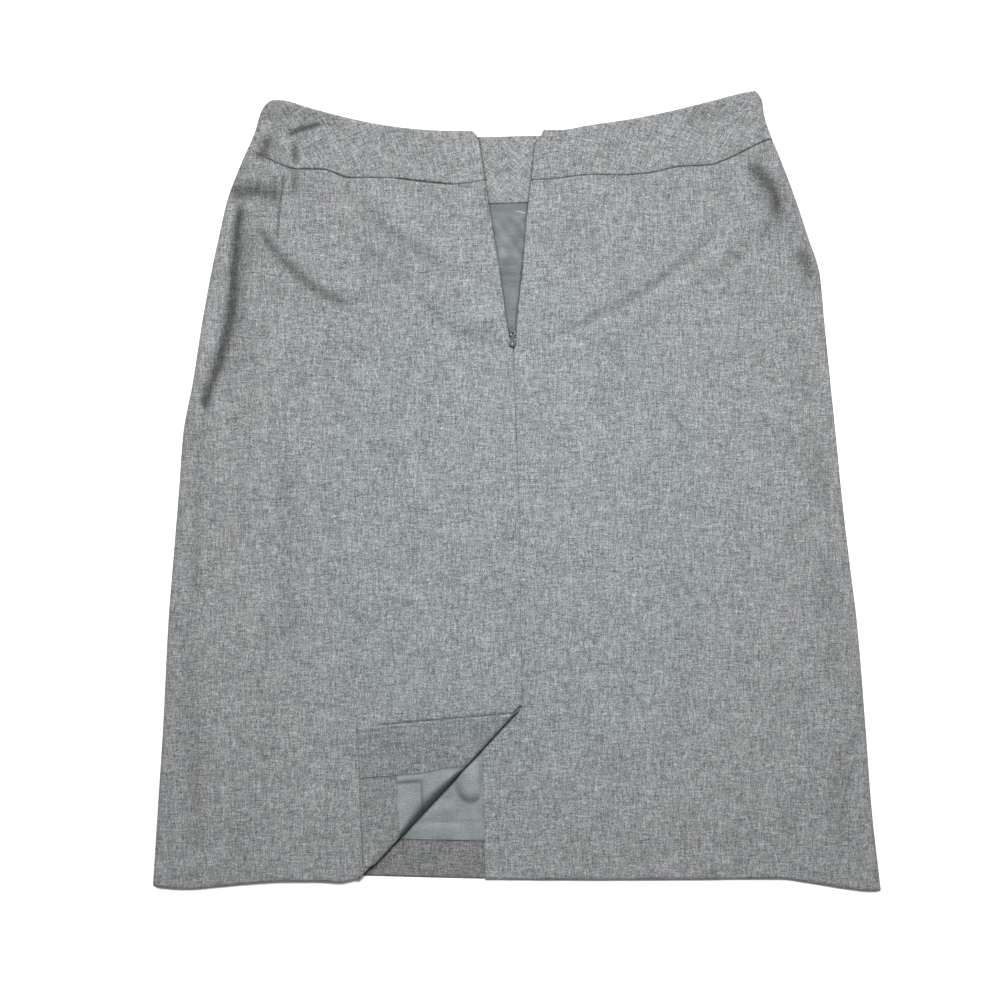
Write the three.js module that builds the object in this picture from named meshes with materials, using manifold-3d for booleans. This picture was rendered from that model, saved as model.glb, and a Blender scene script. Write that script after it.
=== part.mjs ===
// A lined grey pencil skirt laid flat with its back side up, its back zip open, and the lower corner of its
// left back panel turned over at the vent. Millimetres: +X to the right, +Y towards the waist, +Z up from the
// surface it lies on, with the origin under the middle of the skirt.

import * as THREE from 'three';
import Module from 'manifold-3d';
import { mergeVertices } from 'three/addons/utils/BufferGeometryUtils.js';

const wasm = await Module();
wasm.setup();

// Driving dimensions

const cloth = 1.2; // wall of the wool cloth
const liningCloth = 1.0; // wall of the satin lining, the facings and the zip tape
const seamGap = 0.3; // between two pieces that are sewn or lie on each other
const restHeight = 5.3; // outer face of the back, where it lies calm
const trimInset = 3.5; // from the side seams in to the inner layers
const waistFrontDrop = 6; // the front waist lies this far below the back waist
const yokeFacingDepth = 53.8; // of the front yoke and of the facing inside it
const hemTurnUp = 30.9; // depth of the turned-up hem
const hemSetback = 1.8; // from the hem fold in to the turned-up layer
const turnUpInset = 6; // from the side seams in to the turned-up layer of the front
const ventFacingWidth = 40; // of the facing along the vent edge
const underlapDrop = 20; // slope of the underlap's top edge
const flapGap = 0.9; // between the turned corner and the panel under it
const rollRadius = 1.6; // inside the fold of the turned corner
const rollLift = 1.9; // the panel rises this much beside the fold, over the underlap
const tapeWidth = 8.5;
const tapeShow = 1.5; // of the zip tape that stands out of the opening's edge

// Plan of the turned corner

const foldTop = new THREE.Vector2(4, -176.2);
const foldHem = new THREE.Vector2(-125.4, -315.6);
const flapTip = new THREE.Vector2(-130.7, -193.4);

// Zip slider and pull tab

const slider = { x: -3.5, y: 131, width: 4.6, length: 8.6, thickness: 2.2 };
const arch = { halfOpening: 1, opening: 1.8, wall: 0.8, width: 1.2 };
const tab = { thickness: 1, bar: 0.9, neck: 3.6, holeWidth: 2, holeEnd: 2.8, bulbY: 121.4, bulbRadius: 3.3 };

// Side seams from waist to hem, as y and x. The first rows round the waist corners.

const leftSideRows = [
  { y: 316, x: -207 },
  { y: 311, x: -210.2 },
  { y: 306, x: -212.2 },
  { y: 297, x: -214.6 },
  { y: 270, x: -226.2 },
  { y: 240, x: -237.6 },
  { y: 210, x: -244.6 },
  { y: 180, x: -251.1 },
  { y: 140, x: -258.4 },
  { y: 90, x: -266.2 },
  { y: 47, x: -274.2 },
  { y: 0, x: -277.7 },
  { y: -50, x: -281.8 },
  { y: -110, x: -286.5 },
  { y: -190, x: -290.5 },
  { y: -260, x: -295 },
  { y: -324, x: -299 },
];
const rightSideRows = [
  { y: 325.6, x: 198 },
  { y: 319.6, x: 200.8 },
  { y: 308.6, x: 202.6 },
  { y: 297.6, x: 206.6 },
  { y: 270, x: 217.6 },
  { y: 240, x: 228.9 },
  { y: 210, x: 238.8 },
  { y: 178, x: 248.9 },
  { y: 140, x: 252.6 },
  { y: 90, x: 257.6 },
  { y: 40, x: 262.7 },
  { y: -10, x: 267.6 },
  { y: -50, x: 272.3 },
  { y: -110, x: 279.6 },
  { y: -190, x: 286.2 },
  { y: -260, x: 291.4 },
  { y: -328, x: 299 },
];

// Waist edge of the back on each side of the open zip, as x and y

const leftWaistRows = [
  { x: -207, y: 316 },
  { x: -203.5, y: 318.7 },
  { x: -199, y: 319.9 },
  { x: -190, y: 319.9 },
  { x: -172, y: 315.3 },
  { x: -151, y: 309.6 },
  { x: -129, y: 304.3 },
  { x: -108, y: 300.4 },
  { x: -87, y: 297.8 },
  { x: -60, y: 296 },
  { x: -37, y: 295.7 },
  { x: -33.5, y: 292.5 },
];
const rightWaistRows = [
  { x: 20.6, y: 294.8 },
  { x: 22.8, y: 296.9 },
  { x: 36, y: 296.8 },
  { x: 59, y: 300.5 },
  { x: 96, y: 306 },
  { x: 123, y: 311.4 },
  { x: 161, y: 320.7 },
  { x: 180, y: 325.8 },
  { x: 190, y: 327.9 },
  { x: 195, y: 327.8 },
  { x: 198, y: 325.6 },
];

// Seam between yoke and panel on each side, as x and y

const leftYokeSeamRows = [
  { x: -221.5, y: 281 },
  { x: -210, y: 275.6 },
  { x: -197, y: 269.3 },
  { x: -181, y: 264 },
  { x: -161, y: 264 },
  { x: -136, y: 257.1 },
  { x: -111, y: 257.1 },
  { x: -66, y: 252.8 },
  { x: -53, y: 251.8 },
  { x: -26, y: 254.6 },
];
const rightYokeSeamRows = [
  { x: 11.5, y: 255.2 },
  { x: 28, y: 256.2 },
  { x: 63, y: 259.6 },
  { x: 87, y: 259.3 },
  { x: 105, y: 260.6 },
  { x: 136, y: 266.4 },
  { x: 158, y: 267.6 },
  { x: 178, y: 274.8 },
  { x: 203, y: 287 },
  { x: 210, y: 289.3 },
];

// Centre back: the middle and the width of the open zip, then of the gap along the centre seam, at heights y

const centreRows = [
  { y: 294, middle: -6.9, open: 55 },
  { y: 289.5, middle: -6.5, open: 50.5 },
  { y: 284.5, middle: -7.8, open: 46.2 },
  { y: 253, middle: -7.2, open: 37.3 },
  { y: 230, middle: -6.5, open: 30.2 },
  { y: 177.5, middle: -5, open: 17.7 },
  { y: 140, middle: -4.4, open: 8.4 },
  { y: 124, middle: -3.3, open: 5 },
  { y: 119, middle: -2.8, open: 1 },
  { y: 112, middle: -2.7, open: seamGap },
  { y: -16, middle: 1.7, open: seamGap },
  { y: -56, middle: 2.5, open: seamGap },
  { y: -176, middle: 4, open: seamGap },
];
const underlapEdge = { topY: -176, top: 4.15, turnY: -176 - underlapDrop, turn: -28.9, hemY: -318, hem: -25.8 };

// Hem of the back and of the front, as x and y

const hemRows = [
  { x: -299, back: -323.2, front: -322.2 },
  { x: -292, back: -325.2, front: -324.2 },
  { x: -270, back: -326.5, front: -325.5 },
  { x: -243, back: -324.3, front: -323.3 },
  { x: -223, back: -322.3, front: -321.3 },
  { x: -192, back: -320.2, front: -319.2 },
  { x: -150, back: -319.8, front: -317.2 },
  { x: -130, back: -318.9, front: -316 },
  { x: -126, back: -316.5, front: -315.8 },
  { x: -88, back: -318, front: -316.7 },
  { x: -30, back: -318.6, front: -318.1 },
  { x: 34, back: -318.8, front: -319.2 },
  { x: 98, back: -318.8, front: -317.8 },
  { x: 216, back: -317.9, front: -316.9 },
  { x: 238, back: -320.7, front: -319.7 },
  { x: 270, back: -325.9, front: -324.9 },
  { x: 290, back: -327.9, front: -326.9 },
  { x: 299, back: -327.6, front: -326.6 },
];

// The largest soft folds of the back: a start, a middle and an end in plan, half width, and height (minus sinks)

const foldRows = [
  { name: 'left crease, top', start: [-231, 243], middle: [-229, 193], end: [-237, 132], width: 5, height: -1.1 },
  { name: 'left crease, low', start: [-237, 132], middle: [-254, 83], end: [-263, -24], width: 5, height: -0.8 },
  { name: 'left edge ridge', start: [-231, 256], middle: [-241, 180], end: [-264, 50], width: 7, height: 3 },
  { name: 'left inner ridge', start: [-217, 246], middle: [-214, 185], end: [-232, 105], width: 12, height: 2.6 },
  { name: 'left long ridge', start: [-268, 20], middle: [-270, -130], end: [-273, -290], width: 9, height: 1.2 },
  { name: 'left yoke ridge', start: [-207, 272], middle: [-203, 284], end: [-200, 298], width: 7, height: 1.8 },
  { name: 'left yoke pleat', start: [-182, 290], middle: [-182, 268], end: [-183, 240], width: 7, height: 1.6 },
  { name: 'left first slant', start: [-215, 219], middle: [-174, 169], end: [-114, 142], width: 11, height: 2.1 },
  { name: 'left second slant', start: [-138, 247], middle: [-96, 206], end: [-44, 168], width: 11, height: 1.9 },
  { name: 'left third slant', start: [-84, 162], middle: [-51, 133], end: [-9, 119], width: 9, height: 1.3 },
  { name: 'left low slant', start: [-172, 124], middle: [-135, 114], end: [-75, 96], width: 10, height: 0.9 },
  { name: 'right crease', start: [191, 268], middle: [212, 243], end: [214, 210], width: 6, height: -1 },
  { name: 'right inner ridge', start: [183, 262], middle: [199, 236], end: [203, 205], width: 10, height: 2.2 },
  { name: 'right edge ridge', start: [206, 272], middle: [224, 236], end: [243, 170], width: 8, height: 2.2 },
  { name: 'right first slant', start: [176, 230], middle: [107, 168], end: [15, 120], width: 12, height: 2.1 },
  { name: 'right second slant', start: [190, 203], middle: [156, 176], end: [126, 154], width: 10, height: 1.4 },
  { name: 'right long ridge', start: [243, 60], middle: [257, -90], end: [268, -280], width: 10, height: 1.3 },
];
const foldSteps = 10; // straight stretches in the line of a fold

// Where mesh lines lie, as distances in from an edge

const sideSteps = [0, 0.35, 1.5, 4];
const leftCreaseSteps = [9, 14, 19, 24, 30, 38];
const rightCreaseSteps = [10, 17, 25, 34];
const centreSteps = [0, 0.5, 2];
const ventTuck = 12; // how far the vent's facing and lining reach back under the panel
const hemSteps = [2.6, 0.6, 0];
const waistSteps = [0, 0.6, 2.6];
const leftColumns = { outer: [...sideSteps, ...leftCreaseSteps], inner: [...centreSteps, ventTuck], across: 9 };
const rightColumns = { outer: [...sideSteps, ...rightCreaseSteps], inner: centreSteps, across: 11 };
const panelTopY = 244;
const ventRowShares = [0.07, 0.16, 0.27, 0.4]; // along the fold, above the flap's tip
const lowVentRowShares = [0.67, 0.79, 0.9, 0.97]; // below it
const upperRowStep = 14;
const lowerRowStep = 24;

// Radii and lowest heights of the rounded edges

const sideEdge = { radius: 4, low: cloth + seamGap };
const hemEdge = { radius: 2.6, low: 3 };
const waistEdge = { radius: 2.6, low: 3 };
const zipEdge = { radius: 2, low: 5.1 };

const frontTop = cloth + seamGap; // underside of what lies on the front
const trimTop = frontTop + liningCloth; // top of the facing and lining on the front
const wrap = cloth + seamGap + liningCloth; // cloth, gap and lining round the fold
const foldCentreIn = rollRadius + wrap;

// Curves and small sums

const smooth = (value) => THREE.MathUtils.smoothstep(value, 0, 1);
const mix = THREE.MathUtils.lerp;
const range = (count) => Array.from({ length: count }, (_, index) => index);

// A smooth curve through the rows of a table that never overshoots them, straight past its ends
function through(rows, at, value) {
  const points = rows.map((row) => [row[at], row[value]]).sort((a, b) => a[0] - b[0]);
  const last = points.length - 1;
  const slopes = range(last).map((i) => (points[i + 1][1] - points[i][1]) / (points[i + 1][0] - points[i][0]));
  const tangents = points.map((_, i) => {
    if (i === 0) return slopes[0];
    if (i === last) return slopes[last - 1];
    const [before, after] = [slopes[i - 1], slopes[i]];
    return before * after <= 0 ? 0 : (2 * before * after) / (before + after);
  });
  return (where) => {
    if (where <= points[0][0]) return points[0][1] + tangents[0] * (where - points[0][0]);
    if (where >= points[last][0]) return points[last][1] + tangents[last] * (where - points[last][0]);
    const i = points.findIndex((point) => point[0] > where) - 1;
    const span = points[i + 1][0] - points[i][0];
    const s = (where - points[i][0]) / span;
    const rise = s * s * (3 - 2 * s);
    const leave = s * (1 - s) * (1 - s) * span * tangents[i];
    const arrive = s * s * (1 - s) * span * tangents[i + 1];
    return mix(points[i][1], points[i + 1][1], rise) + leave - arrive;
  };
}

const leftSide = through(leftSideRows, 'y', 'x');
const rightSide = through(rightSideRows, 'y', 'x');
const leftWaist = through(leftWaistRows, 'x', 'y');
const rightWaist = through(rightWaistRows, 'x', 'y');
const leftYokeSeam = through(leftYokeSeamRows, 'x', 'y');
const rightYokeSeam = through(rightYokeSeamRows, 'x', 'y');
const centreMiddle = through(centreRows, 'y', 'middle');
const centreOpen = through(centreRows, 'y', 'open');
const leftCentre = (y) => centreMiddle(y) - centreOpen(y) / 2;
const rightCentre = (y) => centreMiddle(y) + centreOpen(y) / 2;
const backHem = through(hemRows, 'x', 'back');
const frontHem = through(hemRows, 'x', 'front');

const zipLeftX = leftWaistRows.at(-1).x;
const zipRightX = rightWaistRows[0].x;

// Waist of the front, below the back's on both sides and straight across the open zip
function frontWaist(x) {
  const share = smooth((x - zipLeftX) / (zipRightX - zipLeftX));
  const left = leftWaist(Math.min(x, leftWaistRows.at(-2).x));
  const right = rightWaist(Math.max(x, rightWaistRows[1].x));
  return mix(left, right, share) - waistFrontDrop;
}

const frontYokeSeam = (x) => frontWaist(x) - yokeFacingDepth;
const frontLiningHem = (x) => frontHem(x) + hemTurnUp;

// The fold of the turned corner: places on it by their share of its length and their distance in from it

const foldLength = foldTop.distanceTo(foldHem);
const foldAlong = foldHem.clone().sub(foldTop).normalize();
const foldInward = new THREE.Vector2(foldAlong.y, -foldAlong.x);
const foldPlace = (share, inward) =>
  foldTop.clone().addScaledVector(foldAlong, share * foldLength).addScaledVector(foldInward, inward);
const fromFold = (x, y) => {
  const offset = new THREE.Vector2(x, y).sub(foldTop);
  return { share: offset.dot(foldAlong) / foldLength, inward: offset.dot(foldInward) };
};
const tip = fromFold(flapTip.x, flapTip.y);

// How far the turned corner reaches over the panel from the fold
function flapReach(share) {
  const straight = share < tip.share ? share / tip.share : (1 - share) / (1 - tip.share);
  return Math.max(tip.inward * straight, foldCentreIn + 1);
}

// Right edge of the left panel: the zip, the centre seam, and then the line where the fold begins to rise
function leftPanelRight(y) {
  const start = foldPlace(0, foldCentreIn);
  if (y > foldTop.y) return leftCentre(y);
  return start.x + ((y - start.y) * foldAlong.x) / foldAlong.y;
}

// Left edge of the right panel: the zip, the centre seam, and then the underlap of the vent
function rightPanelLeft(y) {
  if (y >= underlapEdge.topY) return rightCentre(y);
  if (y > underlapEdge.turnY) {
    return mix(underlapEdge.top, underlapEdge.turn, (underlapEdge.topY - y) / underlapDrop);
  }
  const share = (underlapEdge.turnY - y) / (underlapEdge.turnY - underlapEdge.hemY);
  return mix(underlapEdge.turn, underlapEdge.hem, share);
}

// Heights of the back's outer face

const foldLines = foldRows.map((row) => {
  const [start, middle, end] = [row.start, row.middle, row.end].map((place) => new THREE.Vector2(...place));
  const control = middle.clone().multiplyScalar(2).sub(start.clone().add(end).multiplyScalar(0.5));
  const curve = new THREE.QuadraticBezierCurve(start, control, end);
  return { ...row, points: curve.getPoints(foldSteps) };
});

// Height that one fold adds at a place: a soft bell across its line that fades at both ends
function foldHeight(fold, x, y) {
  let nearest = Infinity;
  let along = 0;
  range(foldSteps).forEach((i) => {
    const [a, b] = [fold.points[i], fold.points[i + 1]];
    const [dx, dy] = [b.x - a.x, b.y - a.y];
    const s = THREE.MathUtils.clamp(((x - a.x) * dx + (y - a.y) * dy) / (dx * dx + dy * dy), 0, 1);
    const distance = Math.hypot(x - a.x - s * dx, y - a.y - s * dy);
    if (distance < nearest) {
      nearest = distance;
      along = (i + s) / foldSteps;
    }
  });
  const fade = smooth(along * 4) * smooth((1 - along) * 4);
  return fold.height * fade * Math.exp(-((nearest / fold.width) ** 2));
}

const relief = (x, y) => foldLines.reduce((sum, fold) => sum + foldHeight(fold, x, y), 0);

// Share of its full height that a surface has at a distance in from a rounded edge
function edgeRise(distance, radius) {
  const out = 1 - THREE.MathUtils.clamp(distance / radius, 0, 1);
  return Math.sqrt(1 - out * out);
}

const lowered = (height, edge, distance) => edge.low + (height - edge.low) * edgeRise(distance, edge.radius);

// The lift of the left panel near the vent, where it lies on the underlap
function ventLift(x, y) {
  const { share, inward } = fromFold(x, y);
  return rollLift * (1 - smooth((inward - 25) / 65)) * smooth((share + 0.22) / 0.22);
}

function leftPanelHeight(x, y) {
  const { inward } = fromFold(x, y);
  const calm = restHeight + relief(x, y) + ventLift(x, y);
  const hemmed = mix(calm, lowered(calm, hemEdge, y - backHem(x)), smooth((inward - 8) / 20));
  const zipped = y > 119 ? lowered(hemmed, zipEdge, leftCentre(y) - x) : hemmed;
  return lowered(zipped, sideEdge, x - leftSide(y));
}

function rightPanelHeight(x, y) {
  const sink = 1.1 * (1 - smooth((x - 6) / 18)) * smooth((-166 - y) / 10);
  const calm = restHeight - sink + relief(x, y);
  const hemmed = lowered(calm, hemEdge, y - backHem(x));
  const zipped = y > 119 ? lowered(hemmed, zipEdge, x - rightCentre(y)) : hemmed;
  return lowered(zipped, sideEdge, rightSide(y) - x);
}

function leftYokeHeight(x, y) {
  const top = lowered(restHeight + relief(x, y), waistEdge, leftWaist(x) - y);
  return lowered(lowered(top, zipEdge, leftCentre(y) - x), sideEdge, x - leftSide(y));
}

function rightYokeHeight(x, y) {
  const top = lowered(restHeight + relief(x, y), waistEdge, rightWaist(x) - y);
  return lowered(lowered(top, zipEdge, x - rightCentre(y)), sideEdge, rightSide(y) - x);
}

// Sheets: points of an outer face with its faces, seen from outside

// A grid between four edge curves. Near an edge its lines keep their distances to that edge.
function gridSheet({ left, right, top, bottom, leftSteps, rightSteps, across, topSteps, bottomSteps, rows, height }) {
  const columnCount = leftSteps.length + across + rightSteps.length;
  const rowCount = topSteps.length + rows.length + bottomSteps.length;
  const columnX = (column, y) => {
    const [from, to] = [left(y), right(y)];
    if (column < leftSteps.length) return from + leftSteps[column];
    const fromEnd = columnCount - 1 - column;
    if (fromEnd < rightSteps.length) return to - rightSteps[fromEnd];
    const share = (column - leftSteps.length + 1) / (across + 1);
    return mix(from + leftSteps.at(-1), to - rightSteps.at(-1), share);
  };
  const rowY = (row, x) => {
    const [from, to] = [top(x), bottom(x)];
    if (row < topSteps.length) return from - topSteps[row];
    const inner = row - topSteps.length;
    if (inner >= rows.length) return to + bottomSteps[inner - rows.length];
    return mix(from - topSteps.at(-1), to + bottomSteps[0], rows[inner]);
  };
  const points = [];
  range(rowCount).forEach((row) => {
    range(columnCount).forEach((column) => {
      let x = columnX(column, mix(top(0), bottom(0), row / rowCount));
      let y = rowY(row, x);
      range(24).forEach(() => {
        x = mix(x, columnX(column, y), 0.7);
        y = mix(y, rowY(row, x), 0.7);
      });
      points.push(new THREE.Vector3(x, y, height(x, y)));
    });
  });
  const faces = [];
  range(rowCount - 1).forEach((row) => {
    range(columnCount - 1).forEach((column) => {
      const corner = row * columnCount + column;
      faces.push([corner, corner + columnCount, corner + columnCount + 1, corner + 1]);
    });
  });
  return { points, faces, columnCount, rowCount };
}

// The direction out of each point of a sheet, as the mean of the faces round it
function sheetNormals({ points, faces }) {
  const normals = points.map(() => new THREE.Vector3());
  faces.forEach((face) => {
    const [a, b, c, d] = face.map((index) => points[index]);
    const normal = c.clone().sub(a).cross(d.clone().sub(b)).normalize();
    face.forEach((index) => normals[index].add(normal));
  });
  return normals.map((normal) => normal.normalize());
}

// A closed wall between two depths below the outer face of a sheet
function wall({ points, faces, normals }, fromDepth, toDepth) {
  const used = [...new Set(faces.flat())];
  const place = new Map(used.map((index, order) => [index, order]));
  const count = used.length;
  const positions = [fromDepth, toDepth].flatMap((depth) =>
    used.flatMap((index) => points[index].clone().addScaledVector(normals[index], -depth).toArray()),
  );
  const triangles = [];
  const edges = new Map();
  faces.forEach((face) => {
    const [a, b, c, d] = face.map((index) => place.get(index));
    triangles.push([a, b, c], [a, c, d]);
    triangles.push([a + count, c + count, b + count], [a + count, d + count, c + count]);
    [[a, b], [b, c], [c, d], [d, a]].forEach(([from, to]) => edges.set(`${from} ${to}`, [from, to]));
  });
  edges.forEach(([from, to]) => {
    if (edges.has(`${to} ${from}`)) return;
    triangles.push([from, from + count, to + count], [from, to + count, to]);
  });
  const geometry = new THREE.BufferGeometry();
  geometry.setAttribute('position', new THREE.Float32BufferAttribute(positions, 3));
  geometry.setIndex(triangles.flat());
  return geometry;
}

// A flat plate between four edge curves
function plate({ left, right, top, bottom, steps, low, thickness }) {
  const corner = (edgeX, edgeY) => {
    let x = edgeX(0);
    let y = edgeY(x);
    range(40).forEach(() => {
      x = mix(x, edgeX(y), 0.6);
      y = mix(y, edgeY(x), 0.6);
    });
    return new THREE.Vector2(x, y);
  };
  const topLeft = corner(left, top);
  const topRight = corner(right, top);
  const bottomLeft = corner(left, bottom);
  const bottomRight = corner(right, bottom);
  const alongX = (from, to, edge) =>
    range(steps).map((i) => mix(from.x, to.x, i / steps)).map((x) => new THREE.Vector2(x, edge(x)));
  const alongY = (from, to, edge) =>
    range(steps).map((i) => mix(from.y, to.y, i / steps)).map((y) => new THREE.Vector2(edge(y), y));
  const outline = [
    ...alongX(bottomLeft, bottomRight, bottom),
    ...alongY(bottomRight, topRight, right),
    ...alongX(topRight, topLeft, top),
    ...alongY(topLeft, bottomLeft, left),
  ];
  const geometry = new THREE.ExtrudeGeometry(new THREE.Shape(outline), { depth: thickness, bevelEnabled: false });
  return geometry.translate(0, 0, low);
}

// Joins and cuts

function asSolid(geometry) {
  const bare = new THREE.BufferGeometry();
  bare.setAttribute('position', geometry.getAttribute('position'));
  bare.setIndex(geometry.getIndex());
  const merged = mergeVertices(bare);
  return new wasm.Manifold(
    new wasm.Mesh({
      numProp: 3,
      vertProperties: new Float32Array(merged.getAttribute('position').array),
      triVerts: new Uint32Array(merged.getIndex().array),
    }),
  );
}

function asGeometry(solid) {
  const mesh = solid.getMesh();
  const geometry = new THREE.BufferGeometry();
  geometry.setAttribute('position', new THREE.Float32BufferAttribute(mesh.vertProperties, 3));
  geometry.setIndex([...mesh.triVerts]);
  return geometry;
}

// Rows of the two back panels, as heights on the skirt turned into shares of the panel's length

const foldRowY = (share) => foldPlace(share, foldCentreIn).y;
const panelRowYs = [];
for (let y = panelTopY; y > -150; y -= y > 0 ? upperRowStep : lowerRowStep) panelRowYs.push(y);
panelRowYs.push(-160, -171);
[...ventRowShares, tip.share, ...lowVentRowShares].forEach((share) => panelRowYs.push(foldRowY(share)));

const panelTop = leftYokeSeam(leftCentre(254)) - seamGap / 2;
const panelBottom = backHem(foldPlace(1, foldCentreIn).x) + hemSteps[0];
const panelRows = panelRowYs.map((y) => (panelTop - y) / (panelTop - panelBottom));

// Left back panel with its turned corner

const tuckColumns = centreSteps.length; // columns of the panel that the vent's lining covers from below
const rollSteps = 5;
const flapSteps = 7;

function leftPanelSheet() {
  const sheet = gridSheet({
    left: leftSide,
    right: leftPanelRight,
    top: (x) => leftYokeSeam(x) - seamGap / 2,
    bottom: backHem,
    leftSteps: leftColumns.outer,
    rightSteps: leftColumns.inner,
    across: leftColumns.across,
    topSteps: [0],
    bottomSteps: hemSteps,
    rows: panelRows,
    height: leftPanelHeight,
  });
  const firstRow = 1 + panelRowYs.findIndex((y) => y < foldRowY(0));
  const extra = [];
  let before = null;
  range(sheet.rowCount - firstRow).forEach((step) => {
    const edgeIndex = (firstRow + step + 1) * sheet.columnCount - 1;
    const edge = sheet.points[edgeIndex];
    const { share } = fromFold(edge.x, edge.y);
    const indices = [edgeIndex];
    const add = (inward, lift) => {
      const place = foldPlace(share, inward);
      indices.push(sheet.points.push(new THREE.Vector3(place.x, place.y, lift(place))) - 1);
    };
    range(rollSteps).forEach((i) => {
      const angle = (Math.PI * (i + 1)) / (rollSteps + 1);
      add(foldCentreIn - rollRadius * Math.sin(angle), () => edge.z + rollRadius * (1 - Math.cos(angle)));
    });
    range(flapSteps + 1).forEach((i) => {
      const inward = mix(foldCentreIn, flapReach(share), (i / flapSteps) ** 1.3);
      const curl = (2 * rollRadius - flapGap) * (1 - smooth((inward - foldCentreIn) / 30));
      add(inward, (place) => restHeight + ventLift(place.x, place.y) + flapGap + curl);
    });
    if (before) {
      range(indices.length - 1).forEach((i) => {
        extra.push([before[i], indices[i], indices[i + 1], before[i + 1]]);
      });
    }
    before = indices;
  });
  const tuckFaces = sheet.faces.filter((face, index) => {
    const row = Math.floor(index / (sheet.columnCount - 1));
    const column = index % (sheet.columnCount - 1);
    return row >= firstRow && column >= sheet.columnCount - 1 - tuckColumns;
  });
  const faces = [...sheet.faces, ...extra];
  const normals = sheetNormals({ points: sheet.points, faces });
  return {
    whole: { points: sheet.points, faces, normals },
    turned: { points: sheet.points, faces: [...tuckFaces, ...extra], normals },
  };
}

// A strip of what lies on the turned corner, between lines along its hem edge and along its vent edge
function onTurnedCorner(turned, hemFrom, hemTo, ventFrom, ventTo) {
  const layer = asSolid(wall(turned, cloth + seamGap, wrap));
  const alongVent = foldTop.clone().sub(flapTip).normalize();
  const alongHem = foldHem.clone().sub(flapTip).normalize();
  const place = (fromHem, fromVent) =>
    flapTip.clone().addScaledVector(alongVent, fromHem).addScaledVector(alongHem, fromVent);
  const outline = [place(hemFrom, ventFrom), place(hemTo, ventFrom), place(hemTo, ventTo), place(hemFrom, ventTo)];
  const area = THREE.ShapeUtils.area(outline);
  const shape = new THREE.Shape(area > 0 ? outline : outline.reverse());
  const cutter = new THREE.ExtrudeGeometry(shape, { depth: 40, bevelEnabled: false }).translate(0, 0, -10);
  const pieces = layer.intersect(asSolid(cutter)).decompose();
  return asGeometry(pieces.reduce((best, piece) => (piece.volume() > best.volume() ? piece : best)));
}

// Zip slider: a body with a small arch that holds the pull tab's bar

const sliderLow = frontTop + liningCloth + seamGap + liningCloth + seamGap;
const sliderTop = sliderLow + slider.thickness;
const hinge = new THREE.Vector3(slider.x, slider.y, sliderTop + arch.opening / 2);

function sliderBody() {
  const [halfWidth, halfLength, cut] = [slider.width / 2, slider.length / 2, 0.9];
  const outline = [
    [-halfWidth + cut, -halfLength],
    [halfWidth - cut, -halfLength],
    [halfWidth, -halfLength + 2.4],
    [halfWidth, halfLength - cut],
    [halfWidth - cut, halfLength],
    [-halfWidth + cut, halfLength],
    [-halfWidth, halfLength - cut],
    [-halfWidth, -halfLength + 2.4],
  ].map(([x, y]) => new THREE.Vector2(slider.x + x, slider.y + y));
  const body = new THREE.ExtrudeGeometry(new THREE.Shape(outline), {
    depth: slider.thickness,
    bevelEnabled: false,
  }).translate(0, 0, sliderLow);
  const outer = arch.halfOpening + arch.wall;
  const rise = arch.opening + arch.wall;
  const bevel = 0.6;
  const profile = new THREE.Shape([
    new THREE.Vector2(-outer, -0.5),
    new THREE.Vector2(outer, -0.5),
    new THREE.Vector2(outer, rise - bevel),
    new THREE.Vector2(outer - bevel, rise),
    new THREE.Vector2(-outer + bevel, rise),
    new THREE.Vector2(-outer, rise - bevel),
  ]);
  profile.holes.push(
    new THREE.Path([
      new THREE.Vector2(-arch.halfOpening, 0),
      new THREE.Vector2(-arch.halfOpening, arch.opening),
      new THREE.Vector2(arch.halfOpening, arch.opening),
      new THREE.Vector2(arch.halfOpening, 0),
    ]),
  );
  const loop = new THREE.ExtrudeGeometry(profile, { depth: arch.width, bevelEnabled: false });
  loop.translate(0, 0, -arch.width / 2).rotateX(Math.PI / 2).rotateZ(Math.PI / 2);
  loop.translate(slider.x, slider.y, sliderTop);
  return asGeometry(asSolid(body).add(asSolid(loop)));
}

// Pull tab: a flat drop with an eye, whose bar passes under the arch
function pullTab() {
  const half = tab.neck / 2;
  const barTop = tab.bar / 2;
  const waistY = slider.y - 5.2;
  const bulbStart = Math.PI * 0.3;
  const outline = [new THREE.Vector2(-half, barTop), new THREE.Vector2(-half, -tab.holeEnd - 0.4)];
  outline.push(new THREE.Vector2(-half + 0.5, waistY - slider.y));
  range(13).forEach((i) => {
    const angle = Math.PI / 2 + bulbStart + ((2 * Math.PI - 2 * bulbStart) * i) / 12;
    const [x, y] = [Math.cos(angle) * tab.bulbRadius, Math.sin(angle) * tab.bulbRadius * 0.95];
    outline.push(new THREE.Vector2(x, tab.bulbY - slider.y + y));
  });
  outline.push(new THREE.Vector2(half - 0.5, waistY - slider.y));
  outline.push(new THREE.Vector2(half, -tab.holeEnd - 0.4), new THREE.Vector2(half, barTop));
  const shape = new THREE.Shape(outline);
  const [holeHalf, holeTop] = [tab.holeWidth / 2, -tab.bar / 2];
  shape.holes.push(
    new THREE.Path([
      new THREE.Vector2(-holeHalf, holeTop),
      new THREE.Vector2(holeHalf, holeTop),
      new THREE.Vector2(holeHalf, -tab.holeEnd),
      new THREE.Vector2(-holeHalf, -tab.holeEnd),
    ]),
  );
  const geometry = new THREE.ExtrudeGeometry(shape, { depth: tab.thickness, bevelEnabled: false });
  return geometry.translate(0, 0, -tab.thickness / 2);
}

// Materials

const finish = (color, roughness, metalness = 0) => new THREE.MeshStandardMaterial({ color, roughness, metalness });
const wool = finish(0x9a9c9e, 0.95);
const satin = finish(0x8a9393, 0.5);
const tapeCloth = finish(0x55585a, 0.9);
const paintedMetal = finish(0x9b9da0, 0.45, 0.4);

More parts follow.
